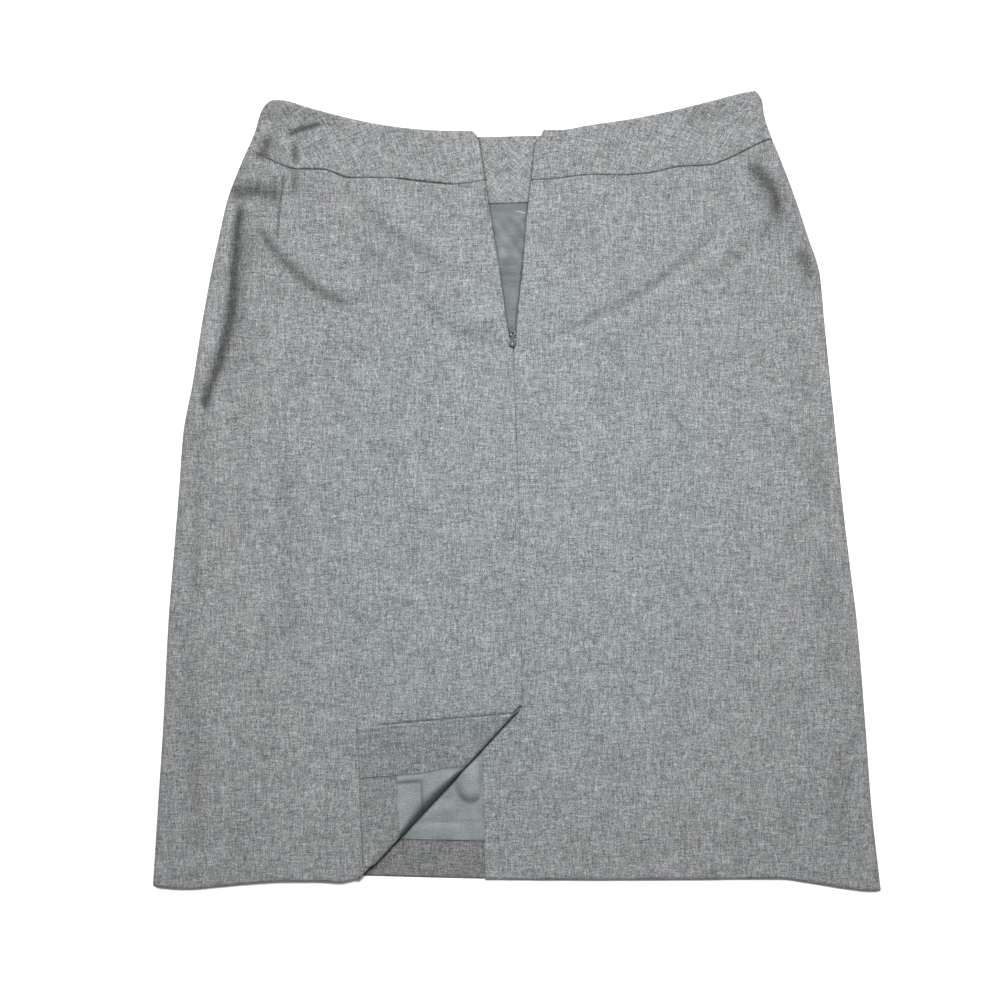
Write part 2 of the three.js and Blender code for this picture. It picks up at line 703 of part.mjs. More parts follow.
// The skirt, from the layer that rests on the surface to the top one

const skirt = new THREE.Group();
const addPiece = (name, geometry, material) => {
  const mesh = new THREE.Mesh(geometry, material.clone());
  mesh.name = name;
  skirt.add(mesh);
  return mesh;
};

const frontLeft = (y) => leftSide(y) + 0.5;
const frontRight = (y) => rightSide(y) - 0.5;
const trimLeft = (y) => leftSide(y) + trimInset;
const trimRight = (y) => rightSide(y) - trimInset;
const layer = { low: frontTop, thickness: liningCloth, steps: 20 };
const ground = { low: 0, thickness: cloth, steps: 20 };

addPiece(
  'front_yoke',
  plate({ left: frontLeft, right: frontRight, top: frontWaist, bottom: frontYokeSeam, ...ground }),
  wool,
);
addPiece(
  'front_panel',
  plate({
    left: frontLeft,
    right: frontRight,
    top: (x) => frontYokeSeam(x) - seamGap,
    bottom: frontHem,
    ...ground,
  }),
  wool,
);
addPiece(
  'front_yoke_facing',
  plate({
    left: trimLeft,
    right: trimRight,
    top: (x) => frontWaist(x) - 1,
    bottom: (x) => frontYokeSeam(x) + seamGap,
    ...layer,
  }),
  wool,
);
addPiece(
  'front_lining',
  plate({ left: trimLeft, right: trimRight, top: frontYokeSeam, bottom: frontLiningHem, ...layer }),
  satin,
);
addPiece(
  'front_hem_turnup',
  plate({
    left: (y) => leftSide(y) + turnUpInset,
    right: (y) => rightSide(y) - turnUpInset,
    top: (x) => frontLiningHem(x) - seamGap,
    bottom: (x) => frontHem(x) + hemSetback,
    ...layer,
  }),
  wool,
);

const tape = { top: () => 286, bottom: () => 125, steps: 8, low: trimTop + seamGap, thickness: liningCloth };
addPiece(
  'zip_tape_left',
  plate({
    left: (y) => leftCentre(y) + tapeShow - tapeWidth,
    right: (y) => leftCentre(y) + tapeShow,
    ...tape,
  }),
  tapeCloth,
);
addPiece(
  'zip_tape_right',
  plate({
    left: (y) => rightCentre(y) - tapeShow,
    right: (y) => rightCentre(y) - tapeShow + tapeWidth,
    ...tape,
  }),
  tapeCloth,
);

const rightSheet = gridSheet({
  left: rightPanelLeft,
  right: rightSide,
  top: (x) => rightYokeSeam(x) - seamGap / 2,
  bottom: backHem,
  leftSteps: rightColumns.inner,
  rightSteps: rightColumns.outer,
  across: rightColumns.across,
  topSteps: [0],
  bottomSteps: hemSteps,
  rows: panelRows,
  height: rightPanelHeight,
});
addPiece('back_right_panel', wall({ ...rightSheet, normals: sheetNormals(rightSheet) }, 0, cloth), wool);

const leftSheet = leftPanelSheet();
addPiece('back_left_panel', wall(leftSheet.whole, 0, cloth), wool);

const yokeRows = [0.25, 0.5, 0.75];
const leftYoke = gridSheet({
  left: leftSide,
  right: leftCentre,
  top: leftWaist,
  bottom: (x) => leftYokeSeam(x) + seamGap / 2,
  leftSteps: leftColumns.outer,
  rightSteps: leftColumns.inner,
  across: leftColumns.across,
  topSteps: waistSteps,
  bottomSteps: [0],
  rows: yokeRows,
  height: leftYokeHeight,
});
addPiece('back_left_yoke', wall({ ...leftYoke, normals: sheetNormals(leftYoke) }, 0, cloth), wool);

const rightYoke = gridSheet({
  left: rightCentre,
  right: rightSide,
  top: rightWaist,
  bottom: (x) => rightYokeSeam(x) + seamGap / 2,
  leftSteps: rightColumns.inner,
  rightSteps: rightColumns.outer,
  across: rightColumns.across,
  topSteps: waistSteps,
  bottomSteps: [0],
  rows: yokeRows,
  height: rightYokeHeight,
});
addPiece('back_right_yoke', wall({ ...rightYoke, normals: sheetNormals(rightYoke) }, 0, cloth), wool);

const farPast = 200; // past the corner's far edges, where its own outline ends the piece
const turned = leftSheet.turned;
addPiece('vent_facing', onTurnedCorner(turned, -20, farPast, -20, ventFacingWidth - seamGap / 2), wool);
addPiece(
  'flap_hem_turnup',
  onTurnedCorner(turned, -20, hemTurnUp - seamGap / 2, ventFacingWidth + seamGap / 2, farPast),
  wool,
);
addPiece(
  'flap_lining',
  onTurnedCorner(turned, hemTurnUp + seamGap / 2, farPast, ventFacingWidth + seamGap / 2, farPast),
  satin,
);

addPiece('zip_slider', sliderBody(), paintedMetal);
addPiece('zip_pull_tab', pullTab(), paintedMetal).position.copy(hinge);

export default skirt;
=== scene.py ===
"""Looks of a lined grey pencil skirt that lies flat with its back side up.

The plan and the heights are worked out in millimetres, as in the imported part: X to the right, Y towards the
waist and Z up from the surface it lies on. Each mesh is written in metres.
"""

import logging
import math
from dataclasses import dataclass, field
from enum import Enum
from typing import Any, Callable, NamedTuple, Sequence

import bmesh
import bpy
import numpy as np
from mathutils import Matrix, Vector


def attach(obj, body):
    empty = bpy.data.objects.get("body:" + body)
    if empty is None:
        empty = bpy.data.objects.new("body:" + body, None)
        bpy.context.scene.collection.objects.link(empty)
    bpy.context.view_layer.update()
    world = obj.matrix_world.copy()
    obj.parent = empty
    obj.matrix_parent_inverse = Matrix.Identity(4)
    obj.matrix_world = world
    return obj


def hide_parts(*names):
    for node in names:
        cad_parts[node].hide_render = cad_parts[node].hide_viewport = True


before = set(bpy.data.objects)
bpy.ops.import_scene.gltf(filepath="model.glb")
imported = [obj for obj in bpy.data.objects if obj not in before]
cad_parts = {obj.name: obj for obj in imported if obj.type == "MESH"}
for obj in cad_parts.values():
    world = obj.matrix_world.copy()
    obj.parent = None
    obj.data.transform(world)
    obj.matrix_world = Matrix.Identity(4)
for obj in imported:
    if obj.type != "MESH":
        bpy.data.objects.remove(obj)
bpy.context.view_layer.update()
log = logging.getLogger("skirt")

MM = 0.001
WELD = 0.00002
DIAGONAL = 0.7071
BODY = "skirt"
SIDES = {-1: "left", 1: "right"}
Array = np.ndarray
Curve = Callable[[Array], Array]


def smooth(value: Array) -> Array:
    """Returns a share from 0 to 1 that eases in and out."""
    share = np.clip(value, 0, 1)
    return share * share * (3 - 2 * share)


def mix(first: Array, second: Array, share: Array) -> Array:
    """Returns the value at a share of the way from first to second."""
    return first + (second - first) * share


def through(rows: Sequence[tuple[float, float]]) -> Curve:
    """Makes a smooth curve through rows that never overshoots them and runs straight past its ends.

    Args:
        rows: Pairs of place and value.

    Returns:
        A function from places to values.
    """
    at, value = np.array(sorted(rows), float).T
    slopes = np.diff(value) / np.diff(at)
    before, after = slopes[:-1], slopes[1:]
    turns = before * after <= 0
    inner = np.where(turns, 0, 2 * before * after / np.where(turns, 1, before + after))
    tangents = np.concatenate([slopes[:1], inner, slopes[-1:]])

    def curve(where: Array) -> Array:
        """Returns the values at the given places."""
        where = np.asarray(where, float)
        i = np.clip(np.searchsorted(at, where, "right") - 1, 0, len(at) - 2)
        span = at[i + 1] - at[i]
        s = np.clip((where - at[i]) / span, 0, 1)
        rise = mix(value[i], value[i + 1], s * s * (3 - 2 * s))
        bend = s * (1 - s) * span * ((1 - s) * tangents[i] - s * tangents[i + 1])
        past = np.minimum(where - at[0], 0) * tangents[0] + np.maximum(where - at[-1], 0) * tangents[-1]
        return rise + bend + past

    return curve


@dataclass(frozen=True)
class Waves:
    """Soft uneven undulation, as a sum of a few long waves in different directions."""

    seed: int
    length: float
    count: int = 9

    def __call__(self, x: Array, y: Array) -> Array:
        """Returns the undulation at places in plan, mostly between -1 and 1."""
        random = np.random.default_rng(self.seed)
        total = np.zeros_like(np.asarray(x, float))
        for _ in range(self.count):
            angle, phase = random.uniform(0, 2 * math.pi, 2)
            wave = 2 * math.pi / (self.length * random.uniform(0.6, 1.7))
            total += np.sin(wave * (x * math.cos(angle) + y * math.sin(angle)) + phase)
        return total / math.sqrt(self.count)


@dataclass(frozen=True)
class Sizes:
    """Driving sizes of the skirt, in millimetres."""

    wool: float = 0.9
    lining: float = 0.5
    rest_height: float = 5.3
    seam_gap: float = 0.1
    trim_inset: float = 3.5
    waist_front_drop: float = 4.7
    facing_depth: float = 55.1
    hem_turn_up: float = 30.9
    turn_up_inset: float = 6
    vent_facing_width: float = 40
    flap_gap: float = 0.9
    roll_radius: float = 1.6
    roll_lift: float = 1.9
    roll_wrap: float = 2.5
    vent_tuck: float = 11.5
    inner_layer: float = 2.5
    tape_top: float = 3.8
    tape_width: float = 8.5
    tape_show: float = 0.15
    zip_end: float = 119
    vent_top: float = -176


@dataclass(frozen=True)
class Edge:
    """A rounded edge of the cloth: how far in it reaches and how low it ends."""

    radius: float
    low: float

    def lower(self, height: Array, distance: Array) -> Array:
        """Returns height as it is at a distance in from the edge."""
        out = 1 - np.clip(distance / self.radius, 0, 1)
        return self.low + (height - self.low) * np.sqrt(1 - out * out)


class SkirtPlan:
    """Outline, seams and turned corner of the skirt, seen from above."""

    left_side_rows = (
        (317, -207), (312, -210.2), (306, -212.2), (297, -214.6), (270, -226.2), (240, -237.6), (210, -244.6),
        (180, -251.1), (140, -258.4), (90, -266.2), (47, -274.2), (0, -277.7), (-50, -281.8), (-110, -286.5),
        (-190, -290.5), (-260, -295), (-324, -299),
    )
    right_side_rows = (
        (326.6, 198.4), (320.4, 201.6), (308.6, 203.3), (297.6, 206.6), (270, 217.6), (240, 228.9),
        (210, 238.8), (178, 248.9), (140, 252.6), (90, 257.6), (40, 262.7), (-10, 267.6), (-50, 272.3),
        (-110, 279.6), (-190, 286.2), (-260, 291.4), (-328, 299),
    )
    left_waist_rows = (
        (-207, 317), (-203.5, 320), (-199, 321.2), (-192, 320.9), (-172, 315.3), (-151, 309.6), (-129, 304.3),
        (-108, 300.4), (-87, 297.8), (-60, 296), (-37, 295.7), (-33.5, 292.5),
    )
    right_waist_rows = (
        (20.6, 294.8), (22.8, 296.9), (36, 296.8), (59, 300.5), (96, 306), (123, 311.4), (161, 320.7),
        (180, 325.8), (190, 327.9), (195, 328.6), (198.4, 326.6),
    )
    left_seam_rows = (
        (-221.5, 281), (-210, 275.6), (-197, 269.3), (-181, 264), (-161, 264), (-136, 257.1), (-111, 257.1),
        (-66, 252.8), (-53, 251.8), (-26, 254.6),
    )
    right_seam_rows = (
        (11.5, 255.2), (28, 256.2), (63, 259.6), (87, 259.3), (105, 260.6), (136, 266.4), (158, 267.6),
        (178, 274.8), (203, 287), (210, 289.3),
    )
    centre_rows = (
        (294, -6.9), (289.5, -6.5), (284.5, -7.8), (253, -7.2), (230, -6.9), (177.5, -5), (140, -4.4),
        (124, -3.3), (119, -2.8), (112, -2.7), (-16, 1.7), (-56, 2.5), (-176, 4),
    )
    open_rows = (
        (294, 55), (289.5, 50.5), (284.5, 46.2), (253, 37.5), (230, 31.0), (177.5, 17.7), (140, 8.4),
        (124, 5), (119, 1), (112, 0.1), (-176, 0.1),
    )
    back_hem_rows = (
        (-299, -323.2), (-292, -325.2), (-270, -326.5), (-243, -324.3), (-223, -322.3), (-192, -320.2),
        (-150, -319.9), (-144, -319.5), (-137, -318), (-130, -316.5), (-126, -315.9), (-88, -318),
        (-30, -318.6), (98, -318.8), (216, -317.9), (238, -320.7), (270, -325.9), (290, -327.9),
        (299, -327.6),
    )
    front_hem_rows = (
        (-299, -322.2), (-292, -324.2), (-270, -325.5), (-243, -323.3), (-223, -321.3), (-192, -319.2),
        (-150, -317.2), (-130, -316), (-126, -315.8), (-88, -316.7), (-30, -318.1), (34, -319.2),
        (98, -317.8), (216, -316.9), (238, -319.7), (270, -324.9), (290, -326.9), (299, -326.6),
    )
    waist_gap = (-33.5, 20.6)
    waist_ends = (-37, 22.8)
    fold_top = np.array([4.0, -176.2])
    fold_hem = np.array([-125.4, -315.6])
    flap_tip = np.array([-130.7, -193.4])
    vent_share = 0.04
    underlap_rows = ((-318.0, -25.8), (-196.0, -28.9), (-176.0, 4.15))

    def __init__(self, sizes: Sizes) -> None:
        """Works out the curves.

        Args:
            sizes: The skirt's driving sizes.
        """
        self.sizes = sizes
        self.left_side = through(self.left_side_rows)
        self.right_side = through(self.right_side_rows)
        self.left_waist = through(self.left_waist_rows)
        self.right_waist = through(self.right_waist_rows)
        self.left_seam = through(self.left_seam_rows)
        self.right_seam = through(self.right_seam_rows)
        self.centre = through(self.centre_rows)
        self.open = through(self.open_rows)
        self.back_hem = through(self.back_hem_rows)
        self.front_hem = through(self.front_hem_rows)
        along = self.fold_hem - self.fold_top
        self.fold_length = float(np.hypot(*along))
        self.fold_along = along / self.fold_length
        self.fold_inward = np.array([self.fold_along[1], -self.fold_along[0]])
        self.roll_in = sizes.roll_radius + sizes.roll_wrap
        self.tip_share, self.tip_inward = (float(v) for v in self.from_fold(*self.flap_tip))
        vent_top = self.fold_top + along * self.vent_share
        self.vent_edge = self.unit(vent_top - self.flap_tip)
        self.hem_edge = self.unit(self.fold_hem - self.flap_tip)

    @staticmethod
    def unit(vector: Array) -> Array:
        """Returns the vector at length 1."""
        return vector / np.hypot(*vector)

    def left_centre(self, y: Array) -> Array:
        """Returns the left edge of the open zip and of the centre seam's gap."""
        return self.centre(y) - self.open(y) / 2

    def right_centre(self, y: Array) -> Array:
        """Returns the right edge of the open zip and of the centre seam's gap."""
        return self.centre(y) + self.open(y) / 2

    def fold_place(self, share: Array, inward: Array) -> tuple[Array, Array]:
        """Returns x and y at a share of the fold's length and a distance in from it."""
        run = share * self.fold_length
        x = self.fold_top[0] + run * self.fold_along[0] + inward * self.fold_inward[0]
        y = self.fold_top[1] + run * self.fold_along[1] + inward * self.fold_inward[1]
        return x, y

    def from_fold(self, x: Array, y: Array) -> tuple[Array, Array]:
        """Returns the share of the fold's length and the distance in from it."""
        dx, dy = x - self.fold_top[0], y - self.fold_top[1]
        share = (dx * self.fold_along[0] + dy * self.fold_along[1]) / self.fold_length
        return share, dx * self.fold_inward[0] + dy * self.fold_inward[1]

    def flap_reach(self, share: Array) -> Array:
        """Returns how far the turned corner reaches over the panel."""
        rising = self.tip_inward * (share - self.vent_share) / (self.tip_share - self.vent_share)
        falling = self.tip_inward * (1 - share) / (1 - self.tip_share)
        return np.maximum(np.minimum(rising, falling), self.roll_in + 1)

    def left_panel_right(self, y: Array) -> Array:
        """Returns the left panel's right edge: zip, centre seam, then the line where the fold rises."""
        x, start_y = self.fold_place(0, self.roll_in)
        slant = x + (y - start_y) * self.fold_along[0] / self.fold_along[1]
        return np.where(y > self.fold_top[1], self.left_centre(y), slant)

    def right_panel_left(self, y: Array) -> Array:
        """Returns the right panel's left edge: zip, centre seam, then the vent's underlap."""
        low_y, low_x = zip(*self.underlap_rows)
        return np.where(y >= self.sizes.vent_top, self.right_centre(y), np.interp(y, low_y, low_x))

    def painted_fold_shadow(self, x: Array, y: Array) -> Array:
        """Returns the painted shadow on what lies under the turned corner's fold, near-black at its line."""
        share, inward = self.from_fold(x, y)
        along = smooth((share + 0.015) / 0.02) * smooth((1.03 - share) / 0.03)
        along = along * (0.45 + 0.55 * smooth((share - 0.2) / 0.2) * smooth((0.9 - share) / 0.1))
        return 1 - 0.74 * along * np.exp(-((np.maximum(-0.1 - inward, 0) / 0.8) ** 2))

    def on_corner(self, x: Array, y: Array) -> tuple[Array, Array]:
        """Returns distances from the turned corner's hem edge and from its vent edge."""
        (ax, ay), (bx, by) = self.vent_edge, self.hem_edge
        dx, dy = x - self.flap_tip[0], y - self.flap_tip[1]
        scale = ax * by - bx * ay
        return (dx * by - bx * dy) / scale, (ax * dy - dx * ay) / scale

    def painted_corner_shadow(self, x: Array, y: Array) -> Array:
        """Returns the painted shadow on the panel beside the turned corner, along its two edges."""
        from_hem, from_vent = self.on_corner(x, y)
        top = smooth((from_hem - 10) / 14) * smooth((134 - from_hem) / 10)
        over = np.exp(-((np.maximum(-from_vent, 0) / 1.5) ** 2)) * top * (from_hem > 0)
        left = smooth((from_vent + 1) / 6) * smooth((118 - from_vent) / 20)
        aside = np.exp(-((np.maximum(-from_hem, 0) / 2.2) ** 2)) * left
        return 1 - np.maximum(0.6 * over, 0.08 * aside)

    def front_waist(self, x: Array) -> Array:
        """Returns the waist of the front, a little below the back's and straight across the open zip."""
        (left_gap, right_gap), (left_end, right_end) = self.waist_gap, self.waist_ends
        share = smooth((x - left_gap) / (right_gap - left_gap))
        left = self.left_waist(np.minimum(x, left_end))
        right = self.right_waist(np.maximum(x, right_end))
        return mix(left, right, share) - self.sizes.waist_front_drop

    def front_seam(self, x: Array) -> Array:
        """Returns the seam between the front's yoke and panel."""
        return self.front_waist(x) - self.sizes.facing_depth

    def lining_hem(self, x: Array) -> Array:
        """Returns the hem of the front lining, on the top of the turned-up hem."""
        return self.front_hem(x) + self.sizes.hem_turn_up


@dataclass(frozen=True)
class Crease:
    """One soft fold: a smooth line in plan, the height it adds and how much shade it paints on the cloth's
    colour, a negative amount painting a highlight.
    """

    line: tuple[tuple[float, float], ...]
    width: float
    height: float
    # Painted shade in the fold, multiplied into the colour; a negative amount paints a highlight on a ridge.
    painted_shade: float = 0.0
    fade: float = 0.25

    def stretches(self) -> Array:
        """Returns points of a smooth curve through the line, a few for each stretch."""
        points = np.array(self.line, float)
        ends = [2 * points[0] - points[1], *points, 2 * points[-1] - points[-2]]
        out = [points[0]]
        for a, b, c, d in zip(ends, ends[1:], ends[2:], ends[3:]):
            for t in (0.25, 0.5, 0.75, 1.0):
                cubic = (3 * (b - c) + d - a) * t**3 + (2 * a - 5 * b + 4 * c - d) * t**2 + (c - a) * t
                out.append(b + cubic / 2)
        return np.array(out)

    def share_at(self, x: Array, y: Array) -> Array:
        """Finds how strongly the fold acts at places in plan.

        Args:
            x: Places across the skirt.
            y: Places along it.

        Returns:
            A share from 0 to 1.
        """
        line = self.stretches()
        share = np.zeros(x.shape)
        reach = 3 * self.width
        low, high = line.min(0) - reach, line.max(0) + reach
        near = (x > low[0]) & (x < high[0]) & (y > low[1]) & (y < high[1])
        px, py = x[near], y[near]
        nearest = np.full(px.shape, np.inf)
        along = np.zeros(px.shape)
        for i, (a, b) in enumerate(zip(line, line[1:])):
            step = b - a
            s = np.clip(((px - a[0]) * step[0] + (py - a[1]) * step[1]) / (step @ step), 0, 1)
            distance = np.hypot(px - a[0] - s * step[0], py - a[1] - s * step[1])
            closer = distance < nearest
            nearest = np.where(closer, distance, nearest)
            along = np.where(closer, (i + s) / (len(line) - 1), along)
        ease = smooth(along / self.fade) * smooth((1 - along) / self.fade) if self.fade else 1
        share[near] = ease * np.exp(-((nearest / self.width) ** 2))
        return share


@dataclass(frozen=True)
class Relief:
    """All the soft folds of the back: ridges, troughs, darts and pressed lines."""

    # Each fold: its line, its width, the height it adds, the shade it paints (negative: a painted highlight)
    # and its fade.
    folds: tuple[Crease, ...] = (
        Crease(((-225.6, 238), (-229.2, 218), (-231.1, 198), (-233.1, 165), (-236.1, 142), (-241.8, 116),
                (-248.4, 95), (-254.1, 80), (-258, 64)), 3.7, -3.2, 0.76, 0.07),
        Crease(((-219, 238), (-223, 198), (-228, 160), (-238, 112), (-248, 80)), 7.5, 0, 0.27),
        Crease(((-250, 92), (-256, 70), (-262, 0), (-266, -80), (-269, -150)), 4.2, -1.5, 0.17),
        Crease(((-267, -110), (-264, -200), (-262, -316)), 6.5, -0.8, 0.16),
        Crease(((-231, 250), (-241, 180), (-256, 110), (-264, 50)), 6, 3.2, -0.24),
        Crease(((-217, 246), (-214, 185), (-232, 105)), 11, 3.0),
        Crease(((-268, 20), (-270, -130), (-273, -290)), 9, 1.2),
        Crease(((-207, 272), (-203, 284), (-200, 298)), 7, 1.8),
        Crease(((-182, 290), (-182, 268), (-183, 240)), 7, 1.2),
        Crease(((-235, 241), (-222, 247), (-208, 246), (-190, 242)), 7.2, -1.8, 0.58, 0.15),
        Crease(((-208, 300), (-196, 309), (-180, 306)), 9, -0.6, 0.12),
        Crease(((-190.5, 290.4), (-183, 294.2), (-176, 297), (-168, 299.2), (-156, 302)), 2.2, -1.6, 0.95),
        Crease(((-190, 294.5), (-174, 302.7), (-152, 304.3), (-133, 296)), 5, -0.9, 0.13),
        Crease(((-182.9, 288), (-181.7, 277), (-181.2, 265)), 2.5, -1.3, 0.62, 0.2),
        Crease(((-181.6, 265), (-182.4, 252), (-184, 238)), 3.2, -1.3, 0.40, 0.2),
        Crease(((-214, 237), (-206, 229), (-199, 222)), 9, 0, 0.09),
        Crease(((-211, 269.5), (-207, 280), (-201, 294)), 5.6, -1.6, 0.50),
        Crease(((-190.5, 269.5), (-191.6, 253.6), (-195, 231.3), (-196.6, 211), (-196.2, 202)),
               0.9, -1.1, 0.46),
        Crease(((-188.2, 266), (-189, 253.6), (-192.3, 231.3), (-194, 211)), 1.2, 0.35, -0.1),
        Crease(((-212, 222), (-205.7, 206), (-196, 194), (-184, 181), (-168, 167), (-149, 157), (-126, 149)),
               4.2, -1.9, 0.48, 0.15),
        Crease(((-196, 214), (-170, 184), (-140, 168), (-110, 156)), 12, 1.9),
        Crease(((-132, 198), (-109, 187), (-84, 176)), 11, -1.2, 0.19),
        Crease(((-137, 245), (-116, 220.7), (-96, 206), (-79.5, 196), (-46.7, 169)), 4.6, -1.4, 0.25),
        Crease(((-124, 244), (-96, 222), (-60, 196), (-34, 176)), 11, 1.5),
        Crease(((-82, 160.8), (-69.6, 147), (-50.8, 132), (-28.6, 124), (-9.8, 119.8)), 4.8, -1.2, 0.17),
        Crease(((-70, 168), (-50, 149), (-26, 139), (-8, 134)), 9, 1.1),
        Crease(((-172, 128), (-130, 112), (-75, 102)), 8, -0.8, 0.08),
        Crease(((-172, 116), (-135, 100), (-75, 88)), 10, 0.9),
        Crease(((-187, 40), (-188, -40), (-186, -150)), 8, -0.7, 0.13),
        Crease(((-100, 42), (-101, 10), (-100, -20)), 7, -0.6, 0.06),
        Crease(((185, 272), (196, 262.5), (209, 247), (212.5, 235), (212, 209)), 5.4, -2.4, 0.54),
        Crease(((183, 262), (197, 236), (200, 205)), 10, 2),
        Crease(((190, 280), (205, 252), (215, 218), (220, 190)), 12, 0, 0.10),
        Crease(((224, 214), (236, 186), (243, 150)), 10, 0, 0.13),
        Crease(((206, 272), (226, 236), (243, 170)), 8, 2.2),
        Crease(((166, 276), (182, 276), (200, 272)), 5, -0.9, 0.05),
        Crease(((135, 302.7), (160, 308.4), (177, 312.5)), 6, -1, 0.20),
        Crease(((230, 200), (236, 187), (242, 172)), 4.8, -1.2, 0.34),
        Crease(((176, 228.3), (149, 199.3), (132, 184.3), (94, 158.3), (54, 138), (17, 119)),
               3.8, -1.8, 0.29),
        Crease(((184, 218), (156, 188), (116, 158), (74, 134), (30, 112)), 11, 2.1, -0.02),
        Crease(((189, 202), (170, 183), (146, 167)), 5, -1.1, 0.16),
        Crease(((198, 196), (180, 176), (152, 158)), 9, 1.2),
        Crease(((64, 122), (76, 118), (90, 112)), 8, -0.6, 0.07),
        Crease(((178, 272), (180, 262), (182, 252)), 0.9, -0.5, 0.06),
        Crease(((243, 60), (257, -90), (268, -280)), 10, 1.3),
        Crease(((246, 60), (248, 20), (250, -20)), 6.5, -0.7, 0.18),
        Crease(((254, -40), (256, -100), (260, -170)), 8, -0.7, 0.14),
        Crease(((263, -200), (265, -240), (266, -290)), 7.5, -0.7, 0.18),
        Crease(((240, 108), (241, 94), (239, 80)), 7, -0.8, 0.09),
    )
    swell: Waves = Waves(4, 62)
    ripple: Waves = Waves(11, 23)

    def height(self, x: Array, y: Array) -> Array:
        """Returns the height that the folds add."""
        total = 0.32 * self.swell(x, y) + 0.11 * self.ripple(x, y)
        for fold in self.folds:
            total = total + fold.height * fold.share_at(x, y)
        return total

    def painted_shade(self, x: Array, y: Array) -> Array:
        """Returns the painted shade in the folds and the painted highlight on some ridges, as a scale of the
        colour, 1 where it is calm.
        """
        total = np.ones(x.shape)
        for fold in self.folds:
            if fold.painted_shade:
                total = total - fold.painted_shade * fold.share_at(x, y)
        return np.clip(total, 0.3, 1.1)


class Grain(Enum):
    """Which way the threads of a piece run in plan."""

    STRAIGHT = "straight"
    BIAS = "bias"
    YOKE = "yoke"


class Placed(NamedTuple):
    """Places of a cloth's points, with their place on the uncut cloth and their tone, the painted light and
    shade that scales their colour.
    """

    x: Array
    y: Array
    z: Array
    u: Array
    v: Array
    tone: Array


@dataclass
class ClothGrid:
    """A grid of rows and columns in two parameters, and what puts its points in place."""

    p: Array
    q: Array
    place: Callable[[Array, Array], Placed]


def threads(x: Array, y: Array, grain: Grain, lower_edge: Curve | None = None) -> tuple[Array, Array]:
    """Finds the place on the uncut cloth of places in plan.

    Args:
        x: Places across the skirt.
        y: Places along it.
        grain: Which way the threads run.
        lower_edge: The yoke's lower edge, from which its cut bends.

    Returns:
        Places across the warp and along it.
    """
    if grain is Grain.BIAS:
        return (x + y) * DIAGONAL, (y - x) * DIAGONAL
    if grain is Grain.YOKE:
        bend = 300.0
        radius = bend - (y - lower_edge(x))
        return radius * np.sin(x / bend), -radius * np.cos(x / bend)
    return x, y


def edge_grid(
    left: Curve,
    right: Curve,
    top: Curve,
    bottom: Curve,
    side_steps: tuple[Sequence[float], Sequence[float]],
    across: int,
    end_steps: tuple[Sequence[float], Sequence[float]],
    rows: Sequence[float],
) -> tuple[Array, Array]:
    """Lays a grid between four edge curves. Near an edge its lines keep their distances to that edge.

    Args:
        left: The left edge, x for y.
        right: The right edge, x for y.
        top: The top edge, y for x.
        bottom: The bottom edge, y for x.
        side_steps: Distances in from the left edge, rising, and from the right edge, rising.
        across: Number of columns between those.
        end_steps: Distances down from the top edge, rising, and up from the bottom edge, falling.
        rows: Shares of the length between those, at which the other rows lie.

    Returns:
        The x and y of the grid, top row first.
    """
    (left_steps, right_steps), (top_steps, bottom_steps) = side_steps, end_steps
    lefts, rights = np.zeros(len(left_steps)), np.zeros(len(right_steps))
    tops, bottoms = np.zeros(len(top_steps)), np.zeros(len(bottom_steps))
    columns = len(lefts) + across + len(rights)
    row_count = len(tops) + len(rows) + len(bottoms)
    inner = (np.arange(across) + 1) / (across + 1)
    share_x = np.concatenate([lefts, inner, rights + 1])
    in_left = np.concatenate([left_steps, np.full(across, left_steps[-1]), rights])
    in_right = np.concatenate([lefts, np.full(across, right_steps[-1]), right_steps[::-1]])
    share_y = np.concatenate([tops, rows, bottoms + 1])
    down = np.concatenate([top_steps, np.full(len(rows), top_steps[-1]), bottoms])
    up = np.concatenate([tops, np.full(len(rows), bottom_steps[0]), bottom_steps])
    share_y, down, up = (value[:, None] for value in (share_y, down, up))
    start = mix(float(top(0)), float(bottom(0)), np.arange(row_count) / row_count)
    y = np.repeat(start[:, None], columns, 1)
    x = mix(left(y) + in_left, right(y) - in_right, share_x)
    rounds, settle = 24, 0.7
    for _ in range(rounds):
        x = mix(x, mix(left(y) + in_left, right(y) - in_right, share_x), settle)
        y = mix(y, mix(top(x) - down, bottom(x) + up, share_y), settle)
    return x, y


def even_shares(length: float, step: float) -> Array:
    """Returns the shares of rows a step apart between two ends, which aren't among them."""
    count = max(2, round(length / step))
    return np.arange(1, count) / count


